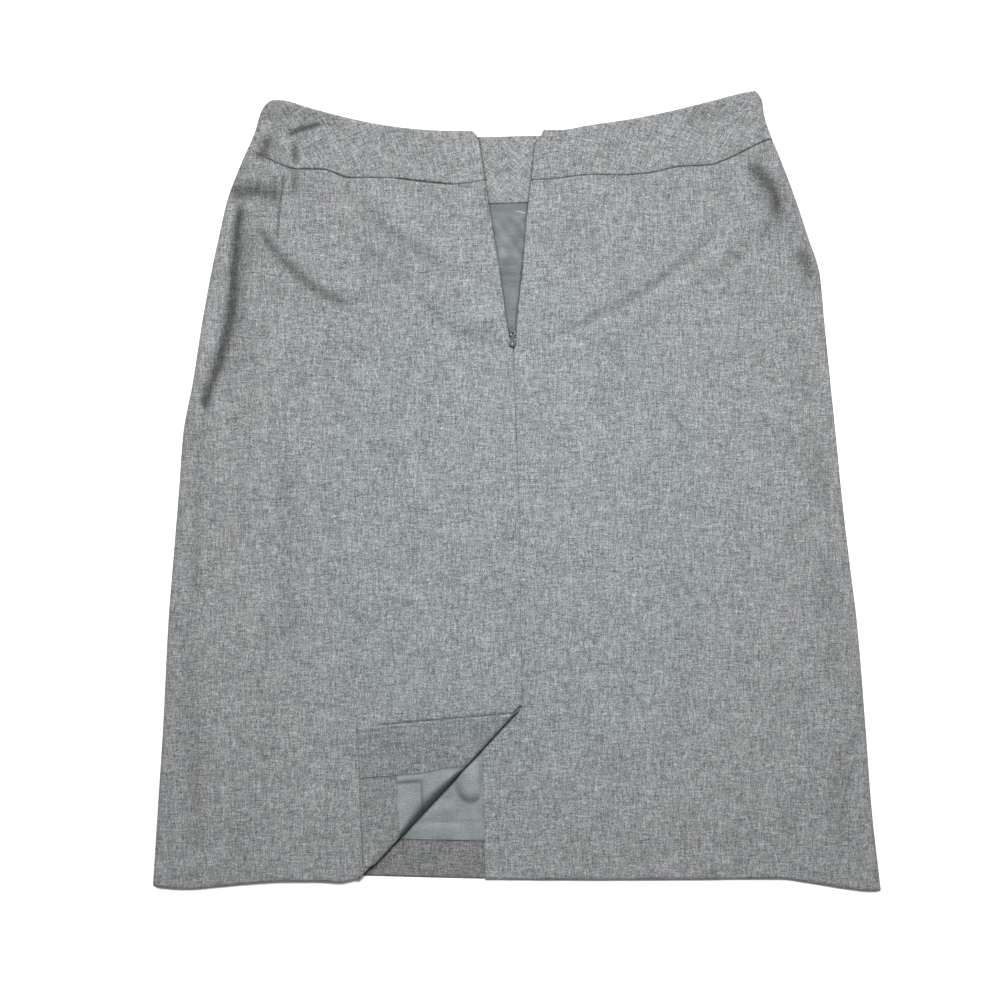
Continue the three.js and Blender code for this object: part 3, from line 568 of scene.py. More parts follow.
def grid_mesh(name: str, grid: ClothGrid, refine: Sequence[Crease] = ()) -> bpy.types.Mesh:
    """Makes the mesh of one grid, with its attributes.

    Args:
        name: Name of the mesh.
        grid: The grid and what places it.
        refine: Thin folds along which the grid is cut finer.

    Returns:
        The mesh, in metres.
    """
    rows, columns = grid.p.shape
    bm = bmesh.new()
    bmesh.ops.create_grid(bm, x_segments=columns - 1, y_segments=rows - 1, size=1)
    for vertex in bm.verts:
        column = round((vertex.co.x + 1) / 2 * (columns - 1))
        row = round((1 - vertex.co.y) / 2 * (rows - 1))
        vertex.co = (grid.p[row, column], grid.q[row, column], 0)
    reach, least = 2.4, 0.2
    for fold in refine:
        edges = np.array([[*(edge.verts[0].co + edge.verts[1].co) / 2] for edge in bm.edges])
        close = Crease(fold.line, reach, 1, fade=0).share_at(edges[:, 0], edges[:, 1]) > least
        bm.edges.ensure_lookup_table()
        chosen = [bm.edges[int(i)] for i in np.flatnonzero(close)]
        bmesh.ops.subdivide_edges(bm, edges=chosen, cuts=2, use_grid_fill=True)
    mesh = bpy.data.meshes.new(name)
    bm.to_mesh(mesh)
    bm.free()
    flat = np.zeros(len(mesh.vertices) * 3)
    mesh.vertices.foreach_get("co", flat)
    p, q, _ = flat.reshape(-1, 3).T
    placed = grid.place(p, q)
    mesh.vertices.foreach_set("co", (np.stack(placed[:3], 1) * MM).ravel())
    cloth = mesh.attributes.new("cloth", "FLOAT_VECTOR", "POINT")
    cloth.data.foreach_set("vector", (np.stack([placed.u, placed.v, 0 * p], 1) * MM).ravel())
    # The tone attribute holds painted light and shade, which the materials multiply into the colour.
    tone = mesh.attributes.new("tone", "FLOAT", "POINT")
    tone.data.foreach_set("value", np.broadcast_to(placed.tone, p.shape).astype(np.float32))
    return mesh


def new_piece(
    bm: bmesh.types.BMesh, name: str, material: bpy.types.Material, slot: str
) -> bpy.types.Object:
    """Turns a finished bmesh in metres into a smooth-shaded piece of the skirt.

    Args:
        bm: The shape, which is freed.
        name: The piece's name.
        material: Its finish.
        slot: The record's slot; not used.

    Returns:
        The piece.
    """
    mesh = bpy.data.meshes.new(name)
    bm.to_mesh(mesh)
    bm.free()
    mesh.materials.append(material)
    mesh.polygons.foreach_set("use_smooth", [True] * len(mesh.polygons))
    piece = bpy.data.objects.new(name, mesh)
    bpy.context.scene.collection.objects.link(piece)
    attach(piece, BODY)
    log.info("%s: %d faces", name, len(mesh.polygons))
    return piece


@dataclass
class SheetPiece:
    """How a piece of cloth is held in the skirt: what it stands for and what it was cut to."""

    name: str
    node: str
    slot: str
    flat: tuple[float, float]
    area: float
    rests_on: tuple[str, ...]
    thickness: float

    def make(
        self, grids: Sequence[ClothGrid], material: bpy.types.Material, refine: Sequence[Crease] = ()
    ) -> bpy.types.Object:
        """Args:
            grids: Its grids, which are welded where they meet.
            material: Its finish.
            refine: Thin folds along which the first grid is cut finer.

        Returns:
            The piece.
        """
        bm = bmesh.new()
        for i, grid in enumerate(grids):
            part = grid_mesh(f"{self.name}_{i}", grid, refine if i == 0 else ())
            bm.from_mesh(part)
            bpy.data.meshes.remove(part)
        if len(grids) > 1:
            bmesh.ops.remove_doubles(bm, verts=bm.verts, dist=WELD)
        piece = new_piece(bm, self.name, material, self.slot)
        shell = piece.modifiers.new("wall", "SOLIDIFY")
        shell.thickness = self.thickness * MM
        shell.offset = -1
        shell.use_even_offset = False
        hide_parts(self.node)
        list(self.rests_on)
        return piece


class Term:
    """A number in a shader: a socket on which sums and products add Math nodes."""

    def __init__(self, tree: bpy.types.NodeTree, socket: bpy.types.NodeSocket) -> None:
        """Wraps an output socket of a node tree."""
        self.tree = tree
        self.socket = socket

    def math(self, operation: str, *values: Any) -> "Term":
        """Adds a Math node.

        Args:
            operation: The node's operation.
            *values: Its inputs, as terms or numbers.

        Returns:
            Its result.
        """
        node = self.tree.nodes.new("ShaderNodeMath")
        node.operation = operation
        for socket, value in zip(node.inputs, values):
            if isinstance(value, Term):
                self.tree.links.new(value.socket, socket)
            else:
                socket.default_value = value
        return Term(self.tree, node.outputs[0])

    def __add__(self, other: Any) -> "Term":
        """Adds."""
        return self.math("ADD", self, other)

    def __radd__(self, other: Any) -> "Term":
        """Adds, with the number first."""
        return self.math("ADD", other, self)

    def __sub__(self, other: Any) -> "Term":
        """Subtracts."""
        return self.math("SUBTRACT", self, other)

    def __rsub__(self, other: Any) -> "Term":
        """Subtracts from a number."""
        return self.math("SUBTRACT", other, self)

    def __mul__(self, other: Any) -> "Term":
        """Multiplies."""
        return self.math("MULTIPLY", self, other)

    def __rmul__(self, other: Any) -> "Term":
        """Multiplies, with the number first."""
        return self.math("MULTIPLY", other, self)

    def __truediv__(self, other: Any) -> "Term":
        """Divides."""
        return self.math("DIVIDE", self, other)

    def floor(self) -> "Term":
        """Rounds down."""
        return self.math("FLOOR", self)

    def fraction(self) -> "Term":
        """Keeps what is past the whole number."""
        return self.math("FRACT", self)

    def sine(self) -> "Term":
        """Takes the sine."""
        return self.math("SINE", self)

    def clamped(self) -> "Term":
        """Keeps it between 0 and 1."""
        return self.math("MINIMUM", self.math("MAXIMUM", self, 0.0), 1.0)

    def ease(self, low: float, high: float) -> "Term":
        """Returns 0 below low and 1 above high, with an eased rise between."""
        share = ((self - low) / (high - low)).clamped()
        return share * share * (3 - 2 * share)


class Finish:
    """A material under construction."""

    def __init__(self, name: str) -> None:
        """Starts a material of that name with an empty node tree."""
        self.material = bpy.data.materials.new(name)
        self.material.use_nodes = True
        self.tree = self.material.node_tree
        self.tree.nodes.clear()

    def node(self, kind: str, settings: dict | None = None, inputs: dict | None = None) -> bpy.types.Node:
        """Adds a node.

        Args:
            kind: Its type, without the leading ShaderNode.
            settings: Its own settings.
            inputs: Values or links of its sockets, by name or number.

        Returns:
            The node.
        """
        node = self.tree.nodes.new("ShaderNode" + kind)
        for key, value in (settings or {}).items():
            setattr(node, key, value)
        for key, value in (inputs or {}).items():
            socket = node.inputs[key]
            if isinstance(value, Term):
                value = value.socket
            if isinstance(value, bpy.types.NodeSocket):
                self.tree.links.new(value, socket)
            else:
                socket.default_value = value
        return node

    def term(self, node: bpy.types.Node, output: str | int = 0) -> Term:
        """Returns a node's output as a number."""
        return Term(self.tree, node.outputs[output])

    def axes(self, source: bpy.types.NodeSocket) -> tuple[Term, Term, Term]:
        """Returns the three numbers of a vector."""
        node = self.node("SeparateXYZ", inputs={0: source})
        return tuple(self.term(node, i) for i in range(3))

    def attribute(self, name: str, output: str) -> bpy.types.NodeSocket:
        """Returns one output of the piece's own attribute."""
        return self.node("Attribute", {"attribute_name": name}).outputs[output]

    def vector(self, x: Any, y: Any, z: Any = 0.0) -> bpy.types.NodeSocket:
        """Returns a vector of three numbers."""
        return self.node("CombineXYZ", inputs={0: x, 1: y, 2: z}).outputs[0]

    def noise(self, where: Any, scale: float, detail: float = 2.0, rough: float = 0.5) -> Term:
        """Returns soft noise about 0.5.

        Args:
            where: The vector it is read at.
            scale: Its scale.
            detail: Its octaves.
            rough: The strength of its finer octaves.

        Returns:
            The noise.
        """
        inputs = {"Vector": where, "Scale": scale, "Detail": detail, "Roughness": rough}
        return self.term(self.node("TexNoise", inputs=inputs))

    def chance(self, cell: Any) -> Term:
        """Returns one random number for each whole-numbered vector."""
        return self.term(self.node("TexWhiteNoise", inputs={"Vector": cell}))

    def blend(self, factor: Any, first: Any, second: Any) -> bpy.types.NodeSocket:
        """Mixes two colours."""
        node = self.node("Mix", {"data_type": "RGBA"}, {"Factor": factor, 6: first, 7: second})
        return node.outputs[2]

    def scaled(self, colour: Any, factor: Any) -> bpy.types.NodeSocket:
        """Makes a colour lighter or darker."""
        return self.node("VectorMath", {"operation": "SCALE"}, {0: colour, "Scale": factor}).outputs[0]

    def with_painted_light(self, colour: Any, tone: float) -> bpy.types.NodeSocket:
        """Scales a colour by the painted light and shade in the piece's tone attribute, and by one more
        factor that makes lighter and darker copies of a material as painted light and shade.
        """
        own = self.term(self.node("Attribute", {"attribute_name": "tone"}), "Fac")
        return self.scaled(colour, own * tone)

    def close(self, height: Term, depth: float, strength: float, inputs: dict) -> bpy.types.Material:
        """Adds the bump, the surface shader and the output.

        Args:
            height: Height of the surface's fine relief.
            depth: Depth of the relief in metres.
            strength: Strength of the bump.
            inputs: Sockets of the surface shader.

        Returns:
            The material.
        """
        bump = self.node("Bump", inputs={"Height": height, "Distance": depth, "Strength": strength})
        shader = self.node("BsdfPrincipled", inputs={**inputs, "Normal": bump.outputs[0]})
        self.node("OutputMaterial", inputs={"Surface": shader.outputs[0]})
        return self.material


@dataclass(frozen=True)
class Wool:
    """Grey melange plain weave: light and dark yarns that change along their length."""

    name: str
    # Scale of the colour: above 1 a copy paints light, below 1 it paints shade.
    tone: float = 1.0
    pitch: float = 0.00056
    streak: float = 0.011
    contrast: float = 0.46
    slub_pitch: float = 0.0009
    slub_length: float = 0.0085
    slubs: float = 0.54
    speckle: float = 0.60
    dark: tuple[float, float, float, float] = (0.056, 0.059, 0.061, 1)
    light: tuple[float, float, float, float] = (0.408, 0.414, 0.419, 1)
    # Colours of the painted cast of cooler, greener light in the middle of the skirt.
    cool_dark: tuple[float, float, float, float] = (0.050, 0.061, 0.062, 1)
    cool_light: tuple[float, float, float, float] = (0.386, 0.422, 0.425, 1)

    def build(self) -> bpy.types.Material:
        """Returns the material."""
        shade = Finish(self.name)
        cloth = shade.attribute("cloth", "Vector")
        across, along, _ = shade.axes(cloth)
        place = shade.node("TexCoord").outputs["Object"]
        x, y, _ = shade.axes(place)
        sway = shade.noise(cloth, 70, 2) * 1.4
        warp_at = across / self.pitch + sway
        weft_at = along / (self.pitch * 1.06) + sway
        warp_row, weft_row = warp_at.floor(), weft_at.floor()
        warp = shade.noise(shade.vector(warp_row * 7.31, along / self.streak, 3.7), 1, 1)
        weft = shade.noise(shade.vector(across / self.streak, weft_row * 5.17, 9.1), 1, 1)
        over = ((warp_row + weft_row) * 0.5).fraction() * 2.0
        patch = shade.noise(cloth, 260, 1).ease(0.42, 0.58)
        over = (over * 0.6 + patch * 0.4).clamped()
        crossing = shade.chance(shade.vector(warp_row, weft_row, 1.0))
        fleck = shade.noise(cloth, 2100, 2)
        cloud = shade.noise(cloth, 34, 3)
        slub_warp = (across / self.slub_pitch + sway).floor() * 3.17
        slub_weft = (along / self.slub_pitch + sway).floor() * 4.43
        thick = shade.noise(shade.vector(slub_warp, along / self.slub_length, 5.3), 1, 1)
        thick = thick + shade.noise(shade.vector(across / self.slub_length, slub_weft, 1.9), 1, 1)
        tone = (warp + weft - 1) * self.contrast + (thick - 1) * self.slubs
        tone = tone + (crossing - 0.5) * self.speckle + (fleck - 0.5) * 0.12 + (cloud - 0.5) * 0.16
        share = (tone + 0.5).clamped()
        share = share * (share * 0.5 + 0.5)
        plain = shade.blend(share, self.dark, self.light)
        painted_light_cast = shade.blend(share, self.cool_dark, self.cool_light)
        # Painted light: a cooler, greener colour cast in the middle of the skirt, fading out towards its
        # edges.
        middle = 1 - (x * x / 0.052 + (y + 0.03) * (y + 0.03) / 0.075).ease(0.1, 1.0)
        colour = shade.blend(middle, plain, painted_light_cast)
        # Painted light and shade: the piece's tone attribute and the copy's own scale.
        colour = shade.with_painted_light(colour, self.tone)
        crown = over * (warp_at.fraction() * math.pi).sine()
        crown = crown + (1 - over) * (weft_at.fraction() * math.pi).sine()
        wrinkle = shade.noise(cloth, 95, 3, 0.55)
        relief = crown * 0.35 + fleck * 0.15 + wrinkle * 2.6
        return shade.close(relief, 0.00022, 0.75, {
            "Base Color": colour,
            "Roughness": 0.92,
            "Specular IOR Level": 0.22,
            "Sheen Weight": 0.12,
            "Sheen Roughness": 0.6,
        })


@dataclass(frozen=True)
class Satin:
    """Grey-green lining satin with a soft sheen and very fine ribs."""

    name: str
    # Scale of the colour for painted light and shade; 1 leaves it as it is.
    tone: float = 1.0
    base: tuple[float, float, float, float] = (0.140, 0.160, 0.159, 1)
    bright: tuple[float, float, float, float] = (0.222, 0.248, 0.248, 1)
    rib: float = 0.0005

    def build(self) -> bpy.types.Material:
        """Returns the material."""
        shade = Finish(self.name)
        cloth = shade.attribute("cloth", "Vector")
        across, along, _ = shade.axes(cloth)
        stretched = shade.vector(across / 0.007, along / 0.0008, 2.0)
        yarn = shade.noise(stretched, 1, 2)
        cloud = shade.noise(cloth, 48, 3, 0.55)
        nap = shade.noise(cloth, 900, 2)
        share = (0.5 + (cloud - 0.5) * 2.2 + (yarn - 0.5) * 1.2 + (nap - 0.5) * 2.7).clamped()
        colour = shade.blend(share, self.base, self.bright)
        # Painted light and shade from the piece's tone attribute.
        colour = shade.with_painted_light(colour, self.tone)
        rib = (along / self.rib * math.pi).sine() * 0.2
        relief = rib + yarn * 0.25 + shade.noise(cloth, 150, 3) * 2.0
        return shade.close(relief, 0.00018, 0.7, {
            "Base Color": colour,
            "Roughness": 0.5 + (cloud - 0.5) * 0.2,
            "Specular IOR Level": 0.2,
            "Sheen Weight": 0.06,
        })


@dataclass(frozen=True)
class TapeCloth:
    """Dense grey twill of the zip's tapes."""

    name: str = "zip_tape_twill"
    dark: tuple[float, float, float, float] = (0.050, 0.053, 0.056, 1)
    light: tuple[float, float, float, float] = (0.105, 0.110, 0.112, 1)

    def build(self) -> bpy.types.Material:
        """Returns the material."""
        shade = Finish(self.name)
        cloth = shade.attribute("cloth", "Vector")
        across, along, _ = shade.axes(cloth)
        rib = ((across + along) / 0.0007 * math.pi).sine() * 0.5 + 0.5
        fleck = shade.noise(cloth, 1600, 2)
        share = (rib * 0.6 + fleck * 0.5 - 0.05).clamped()
        colour = shade.blend(share, self.dark, self.light)
        return shade.close(rib + fleck, 0.0001, 0.6, {"Base Color": colour, "Roughness": 0.85})


@dataclass(frozen=True)
class PaintedMetal:
    """Grey enamel over metal, with random brighter, partly metallic specks that stand for rubbed metal and
    for painted glints.
    """

    name: str = "zip_enamel"
    paint: tuple[float, float, float, float] = (0.022, 0.024, 0.025, 1)
    worn_and_glint: tuple[float, float, float, float] = (0.52, 0.54, 0.54, 1)

    def build(self) -> bpy.types.Material:
        """Returns the material."""
        shade = Finish(self.name)
        place = shade.node("TexCoord").outputs["Object"]
        # Random specks of rubbed metal that also serve as painted glints.
        wear_and_glints = shade.noise(place, 900, 3).ease(0.56, 0.72)
        colour = shade.blend(wear_and_glints * 0.8, self.paint, self.worn_and_glint)
        fine = shade.noise(place, 1500, 2)
        return shade.close(fine, 0.00002, 0.1, {
            "Base Color": colour,
            "Metallic": wear_and_glints * 0.4,
            "Roughness": 0.20 + fine * 0.12,
            "Specular IOR Level": 0.5,
        })


@dataclass(frozen=True)
class Thread:
    """Twisted sewing thread."""

    name: str
    dark: tuple[float, float, float, float]
    light: tuple[float, float, float, float]

    def build(self) -> bpy.types.Material:
        """Returns the material."""
        shade = Finish(self.name)
        place = shade.node("TexCoord").outputs["Object"]
        x, y, z = shade.axes(place)
        twist = ((x * 1.3 + y + z) / 0.0004 * math.pi).sine() * 0.5 + 0.5
        colour = shade.blend(twist, self.dark, self.light)
        return shade.close(twist, 0.00005, 0.5, {"Base Color": colour, "Roughness": 0.7})


@dataclass(frozen=True)
class PaleFloor:
    """White paper under the skirt, with the faintest grain."""

    name: str = "pale_floor"

    def build(self) -> bpy.types.Material:
        """Returns the material."""
        shade = Finish(self.name)
        place = shade.node("TexCoord").outputs["Object"]
        grain = shade.noise(place, 220, 2)
        colour = shade.blend(grain, (0.965, 0.965, 0.965, 1), (0.985, 0.985, 0.985, 1))
        return shade.close(grain, 0.00005, 0.1, {"Base Color": colour, "Roughness": 0.9})


@dataclass
class Wardrobe:
    """All the finishes, built once."""

    outside: Wool = Wool("wool_outside")
    # Lighter and darker copies of the same wool: painted light on the facing in the zip's opening, painted
    # shade on the vent's facing and the turned corner's hem, and on the front's turned-up hem.
    facing: Wool = Wool("wool_facing_painted_light", tone=1.04)
    inside: Wool = Wool("wool_inside_painted_shade", tone=0.79)
    turn_up: Wool = Wool("wool_turn_up_painted_shade", tone=0.73)
    lining: Satin = Satin("satin_lining")
    tape: TapeCloth = TapeCloth()
    metal: PaintedMetal = PaintedMetal()
    seam_thread: Thread = Thread("seam_thread", (0.05, 0.05, 0.055, 1), (0.11, 0.11, 0.12, 1))
    knot: Thread = Thread("knot_thread", (0.006, 0.006, 0.007, 1), (0.02, 0.02, 0.022, 1))
    pale_thread: Thread = Thread("pale_thread", (0.6, 0.61, 0.6, 1), (0.84, 0.84, 0.82, 1))
    coil: Thread = Thread("zip_coil", (0.05, 0.054, 0.056, 1), (0.11, 0.115, 0.118, 1))
    built: dict[str, bpy.types.Material] = field(default_factory=dict)

    def of(self, finish: Any) -> bpy.types.Material:
        """Returns a finish's material, built the first time it is asked for."""
        if finish.name not in self.built:
            self.built[finish.name] = finish.build()
        return self.built[finish.name]


@dataclass
class BackSurface:
    """Heights of the outer face of the back."""

    plan: SkirtPlan
    relief: Relief
    side: Edge = Edge(4, 1.15)
    hem: Edge = Edge(2.6, 2.2)
    waist: Edge = Edge(2.6, 2.6)
    zip: Edge = Edge(1.7, 4.5)
    seam_width: float = 0.8
    seam_depth: float = 1.3
    least: float = 3.7
    left_pull_rows = (
        (-221, 0), (-207, 0.5), (-190, 0.9), (-181, 1.2), (-162, 1.1), (-155, 0.9), (-150, 1.2), (-138, 1.2),
        (-130, 0.7), (-110, 0.6), (-104, 0.2), (-97, 1.5), (-62, 1.5), (-50, 0.6), (-27, 0.3),
    )
    right_pull_rows = ((11, 0.45), (40, 0.6), (90, 0.75), (150, 0.9), (210, 1.0))

    def lift(self, x: Array, y: Array) -> Array:
        """Returns the lift of the left panel near the vent, where it lies on the underlap."""
        share, inward = self.plan.from_fold(x, y)
        lift = self.plan.sizes.roll_lift
        return lift * (1 - smooth((inward - 25) / 65)) * smooth((share + 0.22) / 0.22)

    def calm(self, x: Array, y: Array) -> Array:
        """Returns the height with its folds, away from any edge."""
        height = self.plan.sizes.rest_height + self.relief.height(x, y)
        return self.least + np.logaddexp(0, (height - self.least) * 3) / 3

    def groove(self, distance: Array, depth: float = 1.0) -> Array:
        """Returns how deep a seam pulls the cloth down at a distance from it."""
        return self.seam_depth * depth * np.exp(-((distance / self.seam_width) ** 2))

    def pull(self, x: Array) -> Array:
        """Returns how strongly the yoke's seam draws the cloth in along it."""
        left = np.interp(x, *zip(*self.left_pull_rows))
        right = np.interp(x, *zip(*self.right_pull_rows))
        beat = 1 + 0.22 * np.sin(x * 1.13) + 0.16 * np.sin(x * 0.47 + 1)
        return np.where(x < 0, left, right) * beat

    def centre_pull(self, y: Array) -> Array:
        """Returns how strongly the centre seam draws the cloth in, less towards the vent."""
        return mix(0.06, 0.3, smooth((y + 110) / 150)) * (1 + 0.3 * np.sin(y * 0.31) + 0.2 * np.sin(y * 0.83))

    def beside_centre(self, height: Array, y: Array, distance: Array) -> Array:
        """Returns the height beside the open zip and beside the centre seam below it."""
        sizes = self.plan.sizes
        sewn = (y <= sizes.zip_end) & (y > sizes.vent_top)
        height = np.where(y > sizes.zip_end, self.zip.lower(height, distance), height)
        return height - np.where(sewn, self.groove(np.abs(distance), self.centre_pull(y)), 0)

    def beside_seam(self, height: Array, x: Array, distance: Array) -> Array:
        """Returns the height beside the yoke's seam."""
        return height - self.groove(distance, self.pull(x)) - self.pucker(distance, x)

    def pucker(self, distance: Array, run: Array) -> Array:
        """Returns the small uneven dents along a sewn seam."""
        beat = np.sin(run * 2.05) + 0.7 * np.sin(run * 1.37 + 1.1) + 0.5 * np.sin(run * 0.71 + 0.4)
        return 0.13 * beat * np.exp(-distance / 2.4)

    def left_panel(self, x: Array, y: Array) -> Array:
        """Returns the height of the left panel."""
        plan = self.plan
        _, inward = plan.from_fold(x, y)
        calm = self.calm(x, y) + self.lift(x, y)
        height = mix(calm, self.hem.lower(calm, y - plan.back_hem(x)), smooth((inward - 8) / 20))
        height = self.beside_centre(height, y, plan.left_centre(y) - x)
        height = self.beside_seam(height, x, plan.left_seam(x) - y)
        return self.side.lower(height, x - plan.left_side(y))

    def right_panel(self, x: Array, y: Array) -> Array:
        """Returns the height of the right panel."""
        plan = self.plan
        sink = 1.1 * (1 - smooth((x - 6) / 18)) * smooth((-166 - y) / 10)
        height = self.hem.lower(self.calm(x, y) - sink, y - plan.back_hem(x))
        height = self.beside_centre(height, y, x - plan.right_centre(y))
        height = self.beside_seam(height, x, plan.right_seam(x) - y)
        return self.side.lower(height, plan.right_side(y) - x)

    def left_yoke(self, x: Array, y: Array) -> Array:
        """Returns the height of the left yoke."""
        plan = self.plan
        height = self.waist.lower(self.calm(x, y), plan.left_waist(x) - y)
        height = self.beside_seam(height, x, y - plan.left_seam(x))
        return self.side.lower(self.zip.lower(height, plan.left_centre(y) - x), x - plan.left_side(y))

    def right_yoke(self, x: Array, y: Array) -> Array:
        """Returns the height of the right yoke."""
        plan = self.plan
        height = self.waist.lower(self.calm(x, y), plan.right_waist(x) - y)
        height = self.beside_seam(height, x, y - plan.right_seam(x))
        return self.side.lower(self.zip.lower(height, x - plan.right_centre(y)), plan.right_side(y) - x)

    def tone(self, x: Array, y: Array) -> Array:
        """Returns the cloth's painted shade as a scale of its colour: in the folds, close to the outline,
        along the yoke's seam and the centre seam, and the painted shadow under and beside the turned corner,
        with lighter and darker bands along the underlap's edge.
        """
        plan = self.plan
        side = np.minimum(x - plan.left_side(y), plan.right_side(y) - x)
        # Painted shade close to the outline, where the cloth rounds down.
        outline = 1 - 0.10 * np.exp(-np.maximum(side, 0) / 2.2)
        yoke = y - np.where(x < plan.centre(y), plan.left_seam(x), plan.right_seam(x))
        # Painted shade along the yoke's seam.
        seam = 1 - 0.6 * np.clip(self.pull(x), 0, 1.4) * np.exp(-((yoke / 0.6) ** 2))
        middle = x - plan.centre(y)
        sewn = (y < plan.sizes.zip_end) & (y > plan.sizes.vent_top)
        # Painted shade along the sewn centre seam.
        centre = 1 - np.where(sewn, 0.45 * self.centre_pull(y) * np.exp(-((middle / 0.9) ** 2)), 0)
        _, inward = plan.from_fold(x, y)
        # Painted shadow under the turned corner's fold and beside its two edges.
        fold = np.where(inward < 1, plan.painted_fold_shadow(x, y), plan.painted_corner_shadow(x, y))
        edge = x - plan.right_panel_left(y)
        # Lighter and darker bands along the underlap's edge, below the vent's top.
        stripe = 0.16 * np.cos(edge * 2.9 + 0.4) * np.exp(-np.abs(edge) / 3.2) * (y < -196)
        # The folds' painted shade and highlights, times the painted shade above.
        return self.relief.painted_shade(x, y) * outline * seam * centre * fold * (1 + np.where(x > -31, stripe, 0))


